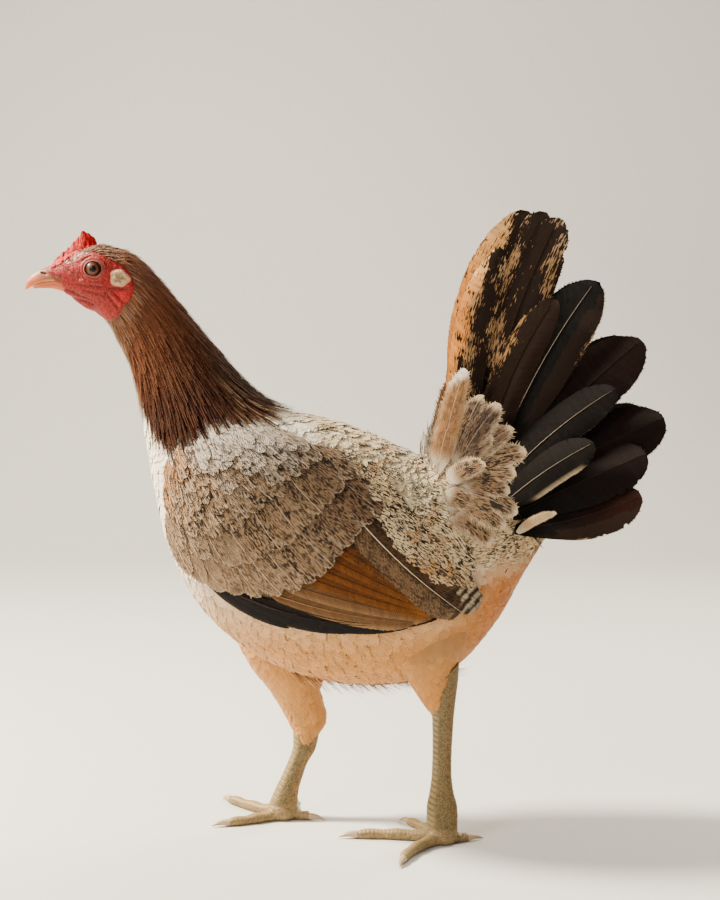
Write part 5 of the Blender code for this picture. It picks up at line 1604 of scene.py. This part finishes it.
def leg_chart(side, part):
    """A thigh's or shank's surface, and the index of its last section."""
    table = np.array(LEGS[side][part])

    def at(s, angle):
        row = spline(table, s)
        half = row[..., 4] * (0.55 + 0.45 * smooth(s, 0.0, 1.3)) if part == "thigh" else row[..., 4]
        section = np.stack([row[..., 2], row[..., 3], row[..., 0], row[..., 1], half], axis=-1)
        return section_points(section, angle, 2.0, 0.0, side * row[..., 5])

    return Chart(at, (0.05, 0.03), 1), len(table) - 1


BODY_FEATHER_REACH = np.array((-24.0, 0.0, 6.0))  # from a body feather's tip to the root that colours it
HOCK_LINE = (50.0, 54.9, 70.3, 76.0), (60.0, 104.0, 132.0, 140.0)  # lower end of the left leg's feathers


def thigh_tint(p, luck):
    """Colour of a thigh's feathers by where they grow, darker at the rear."""
    x, z = p[:, 0], p[:, 2]
    colour = blend(THIGH_LOW, THIGH_HIGH, smooth(z, 70.0, 140.0))
    rear = smooth(x - np.interp(z, (60.0, 140.0), (-28.0, -35.0)), 10.0, 60.0)
    colour = blend(colour, THIGH_REAR, rear * 0.55)
    colour = colour * (0.90 + 0.16 * luck[:, 2:3])
    return blend(colour, body_tint(p + BODY_FEATHER_REACH, luck)[0], smooth(z, 96.0, 132.0))


def thigh_colour(batch):
    colour = thigh_tint(batch["root"], batch["luck"])
    base = np.broadcast_to(colour[:, None, :], batch["f"].shape + (3,))
    return with_alpha(base * (0.93 + 0.1 * batch["barb"])[..., None], np.zeros(batch["f"].shape))


def thighs(look):
    """The feathered part of both legs."""
    laid = []
    for side in SIDES:
        chart, last = leg_chart(side, "thigh")
        chart.sign = outward(chart)

        def feathered(u, v, p):
            return (side == RIGHT) | (p[:, 2] > np.interp(p[:, 0], *HOCK_LINE))

        def spacing(u, v, p):
            return 4.4 - 1.7 * u / last

        u, v = scatter(chart, (0.3, last - 0.15), ALL_ROUND, spacing, THIGH_TRIES, feathered)
        length = np.interp(u / last, (0.0, 0.6, 1.0), (17.0, 12.0, 7.5)) * DRAW.uniform(0.9, 1.1, len(u))
        way = unit(chart.slopes(u, v)[0])
        patch = (0.0, last * 2.0, -0.3 + 6.9 * (side > 0), 13.8)
        lift = hug(depth=1.6, tip=0.2, camber=0.3, spread=0.4)
        laid.append(lay(chart, u, v, way, length, length * 0.55, BODY_VANE, lift, thigh_colour, 0.06, patch))
    coat("thigh_feathers", laid, look)


def outward(chart):
    """The sign that makes the chart's normals point away from its middle."""
    u, v = np.full(16, 1.0), np.arange(16) * math.pi / 8
    p = chart.at(u, v)
    return 1 if ((p - p.mean(0)) * np.cross(*chart.slopes(u, v)[:2])).sum() > 0 else -1


def toe_line(side, toe):
    """Places along a toe in the plan, its length and its radius."""
    tip, radius, bow = LEGS[side]["toes"][toe]
    start, end = np.array(LEGS[side]["ball"]), np.array(tip)
    length = np.linalg.norm(end - start)
    run = (end - start) / length
    across = np.array([-run[1], run[0]])

    def place(d):
        f = np.asarray(d) / length
        xy = start + run * np.asarray(d)[..., None] + across * (bow * 4 * f * (1 - f))[..., None]
        return xy * (1, side)

    return place, length, radius


def tube_mesh(points, radii, sides, floor):
    """Rings, upright along the ground, round a line; none of it below the floor."""
    ahead = unit(np.gradient(points, axis=0) * (1, 1, 0))
    rise = np.array([0.0, 0.0, 1.0])
    across = np.cross(ahead, rise)
    turns = 2 * math.pi * (np.arange(sides) + 0.5) / sides
    circle = across[:, None] * np.cos(turns)[None, :, None] + rise * np.sin(turns)[None, :, None]
    rings = points[:, None] + circle * np.asarray(radii)[:, None, None]
    rings[..., 2] = np.maximum(rings[..., 2], floor)
    return rings.reshape(-1, 3)


def foot(side, look, claw_look):
    """Shank, ball and toes as one skin with scutes in front and fine round scales behind."""
    name = SIDES[side]
    chart, last = leg_chart(side, "shank")
    rows, sides = 70, 36
    s, a = ring_grid(np.linspace(-0.25, last, rows), sides)
    chunks = [(chart.at(s, a).reshape(-1, 3), closed_rings(rows, sides))]
    x, y = LEGS[side]["ball"]
    rows, sides = 18, 32
    rise, turn = ring_grid(np.linspace(-1.45, 1.45, rows), sides)
    ball = np.stack([x + BALL_RADII[0] * np.cos(rise) * np.cos(turn),
                     side * y + BALL_RADII[1] * np.cos(rise) * np.sin(turn),
                     np.maximum(BALL_HEIGHT + BALL_RADII[2] * np.sin(rise), 0)], -1)
    chunks.append((ball.reshape(-1, 3), closed_rings(rows, sides)))
    lines = []
    for toe in LEGS[side]["toes"]:
        place, length, radius = toe_line(side, toe)
        end = length - CLAW_LENGTH
        f = np.linspace(0.0, 1.0, 40)
        size = radius * (0.98 - 0.26 * f) * (1 - 0.06 * np.cos(6 * math.pi * f))
        size = size * (1 - 0.28 * smooth(f, 0.93, 1.0)) * (1 + 0.25 * (1 - smooth(f, 0.0, 0.22)))
        d = 2.0 + (end + 0.4 - 2.0) * f
        line = np.column_stack([place(d), size * 0.85])
        chunks.append((tube_mesh(line, size, 20, 0.0), closed_rings(len(line), 20)))
        lines.append(line)
        claw(side, toe, place, length, radius, claw_look)
    points, normals, quads = melted(chunks)
    height, tint = scales(points, normals, side, lines)
    points = points + normals * height[:, None]
    points[:, 2] = np.maximum(points[:, 2], 0.0)
    uv = np.stack([(points[:, 0] + 100) / 200, (points[:, 1] * 0.5 + points[:, 2] + 50) / 200], -1)
    nodes = [f"shank_{name}"] + [f"{toe}_toe_{name}" for toe in LEGS[side]["toes"]]
    make_object(f"foot_{name}", points, [quads], look, nodes, tint, None, uv)


def melted(chunks):
    """Overlapping closed parts as one smooth skin: its points, normals and faces."""
    mesh = bpy.data.meshes.new("foot_parts")
    shifts = np.cumsum([0] + [len(points) for points, _ in chunks])
    polygons = [tuple(int(i + shift) for i in face)
                for (_, faces), shift in zip(chunks, shifts) for face in faces]
    mesh.from_pydata(np.concatenate([points for points, _ in chunks]) * MM, [], polygons)
    holder = bpy.data.objects.new("foot_parts", mesh)
    bpy.context.scene.collection.objects.link(holder)
    remesh = holder.modifiers.new("remesh", "REMESH")
    remesh.mode, remesh.voxel_size = "VOXEL", FOOT_VOXEL * MM
    soften = holder.modifiers.new("soften", "SMOOTH")
    soften.factor, soften.iterations = 0.5, 5
    whole = holder.evaluated_get(bpy.context.evaluated_depsgraph_get()).to_mesh()
    points, normals = (np.empty(len(whole.vertices) * 3) for _ in range(2))
    whole.vertices.foreach_get("co", points)
    whole.vertex_normals.foreach_get("vector", normals)
    quads = np.array([tuple(p.vertices) for p in whole.polygons if len(p.vertices) == 4])
    bpy.data.objects.remove(holder, do_unlink=True)
    return points.reshape(-1, 3) / MM, normals.reshape(-1, 3), quads


def scales(p, normals, side, lines):
    """Height and colour of the leg's scales at points of its skin."""
    count = len(p)
    best = np.full(count, np.inf)
    along = np.zeros(count)
    for line in lines:
        d = np.linalg.norm(np.diff(line, axis=0), axis=1)
        run = np.concatenate([[0], np.cumsum(d)])
        for i in range(len(d)):
            seg = line[i + 1] - line[i]
            f = np.clip(((p - line[i]) @ seg) / (seg @ seg), 0, 1)
            away = np.linalg.norm(p - line[i] - f[:, None] * seg, axis=1)
            closer = away < best
            best[closer], along[closer] = away[closer], (run[i] + f * d[i])[closer]
    toe = 1 - smooth(p[:, 2], 8.5, 13.0)
    top = smooth(normals[:, 2], 0.25, 0.6) * toe * smooth(along, 2.0, 7.0)
    front = smooth(-normals[:, 0], 0.25, 0.6) * (1 - toe)
    table = np.array(LEGS[side]["shank"])
    middle = np.interp(p[:, 2], np.sort(table[:, 1]), (table[:, 5] * side)[np.argsort(table[:, 1])])
    aside = p[:, 1] - middle
    zig = (p[:, 2] + 0.35 * np.abs(aside)) / SHANK_PLATE + 0.5 * (aside > 0)
    plate = np.where(toe > 0.5, along / TOE_PLATE, zig)
    frac = plate - np.floor(plate)
    groove = np.maximum(1 - smooth(np.minimum(frac, 1 - frac), 0.0, 0.16),
                        (1 - smooth(np.abs(aside), 0.0, 0.35)) * (toe < 0.5))
    scute = 0.45 * (1 - groove) + 0.25 * frac
    cells = np.array([noise.voronoi(Vector(q / PEBBLE))[0][0:2] for q in p * (1.0, 1.0, 0.8)])
    pebble = smooth(cells[:, 1] - cells[:, 0], 0.02, 0.35)
    flat = np.clip(top + front, 0, 1)
    under = smooth(-normals[:, 2], 0.3, 0.7) * toe
    height = flat * scute + (1 - flat) * 0.38 * pebble * (1 - under * 0.4) - 0.25
    seen = flat * (1 - groove) + (1 - flat) * pebble
    plateau = blend(SHANK_GREEN, TOE_SAND, np.clip(0.8 * toe + 0.4 * front, 0, 1))
    rear = smooth(normals[:, 0], 0.1, 0.7) * (1 - toe)
    plateau = blend(plateau, SHANK_REAR, rear * (0.75 if side == RIGHT else 0.35))
    gap = blend(SHANK_GAP, TOE_GAP, toe)
    colour = blend(gap, plateau, seen)
    colour = colour * (0.92 + 0.16 * (noise_at(p, 7.0, 2.0) * 0.5 + 0.5))[:, None]
    return height, with_alpha(colour, np.zeros(count))


def claw(side, toe, place, length, radius, look):
    """A toe's claw, from inside the toe down to the floor."""
    end = length - CLAW_LENGTH
    rows, sides = 18, 14
    f = np.linspace(0.0, 1.0, rows)
    height = radius * (0.62 + 0.25 * np.sin(math.pi * f) - 0.38 * f)
    size = radius * np.interp(f, (0, 1 / 3, 2 / 3, 1.0), (0.62, 0.5, 0.32, 0.07))
    line = np.column_stack([place(end - 1.0 + (CLAW_LENGTH + 1.0) * f), height])
    points = tube_mesh(line, size, sides, 0.15)
    tip = np.arange((rows - 1) * sides, rows * sides)[None, ::-1]
    tint = blend(CLAW_PALE, CLAW_TIP, smooth(np.repeat(f, sides), 0.2, 1.0) * 0.5)
    name = f"{toe}_claw_{SIDES[side]}"
    make_object(f"horn_{name}", points, [ring_quads(rows, sides)[:, ::-1], tip], look, (name,),
                plain(tint))


def scale_material():
    n = Nodes("leg_scale_skin")
    tint = n.attribute("tint")
    fine = n.noise(n.place(), 900.0, 3.0)
    shade = n.plus(n.times(fine, 0.35), 0.82)
    n.bump(fine, 0.1, 0.5)
    return n.finish(n.shaded(tint["Color"], shade), 0.48, specular_ior_level=0.4,
                    subsurface_weight=0.05, subsurface_scale=0.001)


def horn_material(name, roughness):
    n = Nodes(name)
    tint = n.attribute("tint")
    x, y, z = n.split(n.place())
    grain = n.noise(n.join(n.times(x, 0.25), y, z), 500.0, 4.0)
    shade = n.plus(n.times(grain, 0.5), 0.74)
    n.bump(grain, 0.06, 0.5)
    return n.finish(n.shaded(tint["Color"], shade), roughness,
                    subsurface_weight=0.08, subsurface_scale=0.001)


def fleshy_material(name, size, roughness, depth, gloss):
    n = Nodes(name)
    tint = n.attribute("tint")
    spots = n.step(n.cells(n.place(), size), 0.15, 0.6)
    shade = n.minus(1.05, n.times(spots, 0.22))
    n.bump(n.minus(1.0, spots), 0.15, 0.7)
    return n.finish(n.shaded(tint["Color"], shade), roughness,
                    subsurface_weight=depth, subsurface_scale=0.002, specular_ior_level=gloss)


# Bill sections: upper point, lower point, half width.
BILL_UPPER = (
    (-199.0, 379.0, -191.7, 370.1, 6.3), (-203.0, 377.5, -197.7, 369.7, 5.3),
    (-207.0, 375.1, -203.7, 368.5, 4.1), (-210.3, 371.7, -208.3, 366.7, 2.7),
    (-212.2, 368.0, -211.0, 365.1, 1.3), (-212.8, 364.9, -212.5, 364.3, 0.4),
)
BILL_LOWER = (
    (-191.4, 369.7, -185.7, 362.7, 6.0), (-197.5, 369.2, -193.5, 365.0, 4.9),
    (-203.5, 368.0, -200.8, 365.4, 3.5), (-207.6, 366.4, -206.3, 365.3, 1.5),
)
NOSTRIL = (-199.6, 375.2)


def bill(name, table, is_upper, look):
    """One half of the bill: an arch over its cutting edge, or under it."""
    rows, sides = 70, 33
    turns = (0.0 if is_upper else math.pi) + np.linspace(0, math.pi, sides)
    s, a = np.meshgrid(np.linspace(-0.35, len(table) - 1, rows), turns, indexing="ij")
    row = spline(table, s)
    upper, lower = row[..., 0:2], row[..., 2:4]
    pair = (upper, 2 * lower - upper) if is_upper else (2 * upper - lower, lower)
    section = np.concatenate([*pair, np.maximum(row[..., 4:5], 0.35)], axis=-1)
    c, si = np.cos(a), np.sin(a)
    reach = (np.abs(c) ** 1.9 + np.abs(si) ** 1.9) ** (-1 / 1.9)
    centre, arm = (section[..., 0:2] + section[..., 2:4]) / 2, (section[..., 0:2] - section[..., 2:4]) / 2
    xz = centre + arm * (reach * si)[..., None]
    p = np.stack([xz[..., 0], reach * c * section[..., 4], xz[..., 1]], axis=-1)
    x, z = p[..., 0], p[..., 2]
    away = np.hypot((x - NOSTRIL[0]) / 2.3, (z - NOSTRIL[1] + 0.25 * (x - NOSTRIL[0])) / 0.8)
    hole = (1 - smooth(away, 0.6, 1.15)) * is_upper
    cover = np.exp(-(((x - NOSTRIL[0] - 0.3) / 3.2) ** 2 + ((z - NOSTRIL[1] - 1.3) / 1.2) ** 2))
    p[..., 1] *= 1 - hole * 0.33 + 0.07 * cover * is_upper
    colour = blend(BILL_ORANGE, BILL_TIP, smooth(s, 2.9, 4.7) * 0.7)
    # A paler band along the ridge of each half of the bill: a painted highlight.
    ridge_highlight = smooth(np.abs(np.sin(a)), 0.93, 1.0)
    colour = blend(colour, BILL_RIDGE_HIGHLIGHT, ridge_highlight * 0.25)
    if is_upper:
        cere = smooth(x + 1.3 * (z - 374.0), -206.5, -202.5) * smooth(z, 370.6, 372.2)
        colour = blend(colour, CERE_BROWN, cere * 0.8)
        # The nostril's hollow is darkened: painted shade.
        colour = blend(colour, NOSTRIL_SHADE, hole)
    edge = smooth(np.abs(np.cos(a)), 0.985, 1.0)
    colour = blend(colour, BILL_EDGE, edge * 0.6)
    make_object(f"horn_{name}", p.reshape(-1, 3), arch_faces(rows, sides), look, (name,),
                plain(colour))


# The comb in the side view: x and the height of its top edge.
COMB = (
    (-193.5, 383.0), (-191.5, 386.0), (-189.5, 387.0), (-187.5, 389.6), (-186.0, 389.8), (-184.0, 392.4),
    (-182.6, 392.6), (-180.6, 396.2), (-179.3, 396.6), (-177.4, 399.4), (-176.4, 399.4), (-175.0, 402.8),
    (-173.6, 403.4), (-171.6, 402.0), (-170.0, 401.8), (-168.2, 399.8), (-166.4, 398.8), (-164.8, 395.4),
)


def comb(look):
    """The small upright comb, rough with fine bumps and painted shade in the dips between them."""
    rows, sides = 120, 44
    s = np.linspace(0, len(COMB) - 1, rows)
    line = spline(COMB, s)
    t = np.linspace(0, 6, 121)
    crown = spline(TRUNK, t)[:, 0:2]
    base = np.interp(line[:, 0], crown[:, 0], crown[:, 1]) - 3.6
    a = np.linspace(0, math.pi, sides)
    end = np.sqrt(np.clip(1 - np.abs(np.linspace(-1, 1, rows)) ** 8, 0.02, 1))
    k = np.sin(a) ** 0.8
    x = np.repeat(line[:, :1], sides, 1)
    z = base[:, None] + (line[:, 1] - base)[:, None] * k
    half = (1.2 + 3.6 * (1 - k) ** 1.3) * end[:, None]
    y = np.cos(a) * half
    p = np.stack([x, y, z], -1)
    rough = noise_at(p, 1.0, 2.0) * 0.35 + noise_at(p, 2.6, 8.0) * 0.45
    out = np.stack([0 * x, np.cos(a) + 0 * x, 0.4 * np.sin(a) + 0 * x], -1)
    p = p + out * rough[..., None]
    # Darker red where the surface dips: painted shade.
    shade = blend(COMB_RED, COMB_PIT_SHADE, smooth(-rough, -0.1, 0.35))
    make_object("comb_flesh", p.reshape(-1, 3), arch_faces(rows, sides), look, ("comb",),
                plain(shade))


def lobe(side, look):
    """The pale crumpled ear lobe."""
    rows, sides = 60, 90
    r, a = ring_grid(np.linspace(0.0, 1.0, rows), sides)
    tilt = math.radians(-18.0)
    rag = 1 + 0.07 * np.sin(3 * a + 1) + 0.05 * np.sin(5 * a)
    dx, dz = 6.9 * r * rag * np.cos(a), 5.8 * r * rag * np.sin(a)
    x = LOBE[0] + dx * math.cos(tilt) - dz * math.sin(tilt)
    z = LOBE[1] + 0.4 + dx * math.sin(tilt) + dz * math.cos(tilt)
    swell = 1.9 * np.sqrt(np.clip(1 - r**2.4, 0, 1)) - 0.4 - 0.55 * np.exp(-((r / 0.42) ** 2))
    chart = side_chart(HEAD_GRID, side)
    p = chart.at(x, z)
    crumple = noise_at(p, 1.9, 4.0) * 0.7 + noise_at(p, 0.8, 1.0) * 0.3
    p = chart.raised(x, z, swell + crumple * (1 - r**4))
    centre = np.exp(-((r / 0.5) ** 2))
    # Browner centre, the lobe's own colour, and painted shade in the dips of the crumples.
    centre_and_dip_shade = np.clip(centre * 0.9 + 0.5 * smooth(-crumple, 0.0, 0.5), 0, 1)
    colour = blend(LOBE_CREAM, LOBE_CENTRE_AND_DIP_SHADE, centre_and_dip_shade)
    colour = blend(colour, LOBE_RED, smooth(r, 0.72, 1.0) * (0.45 + 0.4 * (np.sin(a) < 0)))
    make_object(f"lobe_{SIDES[side]}", p.reshape(-1, 3), [ring_quads(rows, sides)], look,
                (f"ear_lobe_{SIDES[side]}",), plain(colour))


def eye(side, look):
    """The eyeball with its iris and pupil."""
    name = SIDES[side]
    depth = float(side_depth(HEAD_GRID, np.array([EYE[0]]), np.array([EYE[1]]))[0])
    centre = np.array([EYE[0], side * (depth - EYE_SINK), EYE[1]])
    rows, sides = 70, 72
    b, a = ring_grid(np.linspace(0.0, math.pi, rows) ** 1.35 / math.pi**0.35, sides)
    radial = EYE_RADIUS * np.sin(b)
    out = np.cos(b)
    bulge = 0.35 * np.exp(-((radial / 2.6) ** 2)) * (out > 0)
    p = centre + np.stack([radial * np.cos(a), side * (EYE_RADIUS * out + bulge), radial * np.sin(a)], -1)
    streaks = noise_at(np.stack([np.cos(a) * 9, np.sin(a) * 9, radial * 1.2], -1), 1.0, 3.0)
    pale = np.clip(smooth(radial, 1.8, 3.0) + streaks * 0.6, 0, 1)
    iris = blend(IRIS_DARK, IRIS_PALE, pale)
    iris = blend(iris, IRIS_RIM, smooth(radial, 3.1, 3.8))
    colour = blend(PUPIL, iris, smooth(radial, 1.95, 2.2))
    # A dark band where the eyeball runs under the lids: painted shade.
    colour = blend(colour, EYE_EDGE_SHADE, smooth(radial, 3.8, 4.2))
    make_object(f"eyeball_{name}", p.reshape(-1, 3), [ring_quads(rows, sides)], look,
                (f"eye_{name}",), plain(colour))


EYE_OPENING = (4.75, 4.15)  # half its length and half its height
# Section of the lids: distance from the opening's edge, and height over the head.
LID_REACH = (0.0, 0.35, 0.9, 1.5, 2.1, 3.0, 3.9, 5.0, 6.4)
LID_HEIGHT = (-0.9, 0.35, 0.95, 0.75, 0.15, 0.42, 0.10, 0.12, -0.25)


def lids(side, look):
    """Folded skin round the opening of the eye."""
    rows, sides = 56, 120
    r, a = ring_grid(np.linspace(0.0, LID_REACH[-1], rows), sides)
    shape = 1 + 0.05 * np.cos(2 * a) + 0.03 * np.cos(a)
    x = EYE[0] + (EYE_OPENING[0] * shape + r) * np.cos(a)
    z = EYE[1] + (EYE_OPENING[1] * shape + r * 1.02) * np.sin(a)
    fold = noise_at(np.stack([np.cos(a) * 5, np.sin(a) * 5, r * 0], -1), 1.0, 7.0)
    upper = smooth(np.sin(a), -0.2, 0.6)
    profile = np.interp(r, LID_REACH, LID_HEIGHT)
    brow = 0.55 * upper * np.exp(-(((r - 2.6) / 1.3) ** 2))
    ripple = 0.10 * np.sin(r * 5.5 + fold * 2.5) * smooth(r, 1.2, 2.2) * (1 - smooth(r, 4.8, 6.2))
    chart = side_chart(HEAD_GRID, side)
    grain = face_grain(chart.at(x, z)) * smooth(r, 1.0, 3.5)
    p = chart.raised(x, z, profile + brow + ripple + grain + fold * 0.12 * (r < 2.5))
    points = p.reshape(-1, 3)
    tint = plain(face_tint(points))
    # The dark lid margin: partly the lid's own colour, partly painted shade in the gap round the eye.
    rim = np.repeat((1 - smooth(r, 0.7, 1.4)).reshape(-1, 1), 3, 1)
    tint[:, :3] = tint[:, :3] * (1 - rim) + np.array(LID_MARGIN_AND_SHADE) * rim
    ring = np.exp(-(((r.reshape(-1) - 1.7) / 0.5) ** 2))[:, None]
    tint[:, :3] = tint[:, :3] * (1 - 0.5 * ring) + np.array(LID_RING) * 0.5 * ring
    make_object(f"lids_{SIDES[side]}", points, [ring_quads(rows, sides)], look, (), tint)


def eye_material():
    n = Nodes("wet_eye")
    tint = n.attribute("tint")
    fine = n.noise(n.place(), 2500.0, 2.0)
    shade = n.plus(n.times(fine, 0.4), 0.8)
    return n.finish(n.shaded(tint["Color"], shade), 0.4, coat_weight=0.22,
                    coat_roughness=0.05, specular_ior_level=0.1)


def add_stage():
    """A pale floor that rises into a backdrop, soft lights and the camera."""
    n = Nodes("pale_floor")
    fine = n.noise(n.place(), 160.0, 4.0)
    shade = n.plus(n.times(fine, 0.05), 0.60)
    n.bump(fine, 0.15, 0.3)
    look = n.finish(n.join(shade, shade, n.times(shade, 0.97)), 0.7)
    bend, back, far = 0.6, 1.3, 3.2
    line = [(-far, 0.0), (back, 0.0)]
    turns = np.linspace(0.15, math.pi / 2, 14)
    line += [(back + bend * math.sin(a), bend * (1 - math.cos(a))) for a in turns]
    line.append((back + bend, far))
    mesh = bpy.data.meshes.new("floor")
    points = [(x, y, z) for y, z in line for x in (-far, far)]
    mesh.from_pydata(points, [], [(2 * i, 2 * i + 1, 2 * i + 3, 2 * i + 2) for i in range(len(line) - 1)])
    mesh.shade_smooth()
    mesh.materials.append(look)
    floor = bpy.data.objects.new("floor", mesh)
    bpy.context.scene.collection.objects.link(floor)
    for name, place, aim, size, power, colour in LIGHTS:
        lamp = bpy.data.lights.new(name, "AREA")
        lamp.shape, lamp.size, lamp.energy, lamp.color = "DISK", size, power, colour
        holder = bpy.data.objects.new(name, lamp)
        holder.location = place
        holder.rotation_euler = (Vector(aim) - Vector(place)).to_track_quat("-Z", "Y").to_euler()
        bpy.context.scene.collection.objects.link(holder)
    world = bpy.data.worlds.new("soft")
    world.use_nodes = True
    background = world.node_tree.nodes["Background"].inputs
    background["Color"].default_value = (1.0, 0.96, 0.90, 1.0)
    background["Strength"].default_value = 0.40
    bpy.context.scene.world = world
    lens = bpy.data.cameras.new("camera")
    lens.lens, lens.sensor_width = LENS, SENSOR
    camera = bpy.data.objects.new("camera", lens)
    camera.location = CAMERA_PLACE
    camera.rotation_euler = (CAMERA_TILT, 0.0, 0.0)
    bpy.context.scene.collection.objects.link(camera)
    bpy.context.scene.camera = camera


LENS, SENSOR = 66.161, 36.0  # millimetres
CAMERA_PLACE, CAMERA_TILT = (0.009, -1.10, 0.335), math.radians(86.0)
# Round lamps, in metres: name, place, the point they look at, size, power and colour.
LIGHTS = (
    ("sun", (-1.15, 0.12, 1.25), (0.0, 0.0, 0.22), 0.3, 138.0, (1.0, 0.87, 0.68)),
    ("fill", (-1.25, -1.55, 1.25), (0.0, 0.0, 0.2), 0.8, 24.0, (1.0, 0.93, 0.83)),
    ("rim", (0.85, 0.8, 1.1), (0.0, 0.0, 0.25), 0.6, 26.0, (1.0, 0.88, 0.70)),
)


def main():
    add_stage()
    skin = skin_material()
    add_skin(skin)
    body = plumage("body_feathers", fleck=(0.016, 0.010, 0.007), fleck_size=(3.2, 0.80), fleck_level=0.49,
                   shaft=0.25, shade=0.09, relief=0.12)
    body_coat(body)
    thighs(plumage("thigh_plumes", shaft=0.05, shade=0.05, relief=0.1))
    hackle(plumage("hackle_feathers", shaft=0.3, pitch=1.1, shade=0.25, gloss=0.035, sheen=0.0,
                   pale=(0.19, 0.095, 0.045)))
    head_coat(plumage("head_plumes", shaft=0.15, shade=0.1, gloss=0.1, sheen=0.0))
    coverts = plumage("wing_coverts", fleck=(0.018, 0.011, 0.008), fleck_size=(3.2, 0.66),
                      fleck_level=0.48, shaft=0.6, shade=0.09, relief=0.15, gloss=0.12, sheen=0.0,
                      pale=(0.62, 0.54, 0.43))
    quills = plumage("wing_quills", fleck=(0.022, 0.013, 0.009), fleck_size=(1.9, 0.8), fleck_level=0.50,
                     fleck_rake=0.6, shaft=0.0, pitch=1.3, gloss=0.1, sheen=0.0)
    tails = plumage("tail_quills", fleck=(0.016, 0.009, 0.006), fleck_size=(5.0, 0.75), fleck_level=0.50,
                    fleck_rake=0.5, shaft=0.0, pitch=1.3, rake=1.5, gloss=0.05, sheen=0.0, crowding=0.7)
    scaled = scale_material()
    claws = horn_material("claw_horn", roughness=0.36)
    fleshy = fleshy_material("lobe_flesh", size=1300.0, roughness=0.55, depth=0.15, gloss=0.5)
    wet = eye_material()
    for side in SIDES:
        wing(side, coverts, quills, body)
        tail(side, tails, body)
        foot(side, scaled, claws)
        lobe(side, fleshy)
        eye(side, wet)
        lids(side, skin)
    beak = horn_material("bill_horn", roughness=0.5)
    bill("bill_upper", BILL_UPPER, True, beak)
    bill("bill_lower", BILL_LOWER, False, beak)
    comb(fleshy_material("comb_skin", size=800.0, roughness=0.6, depth=0.04, gloss=0.15))


main()
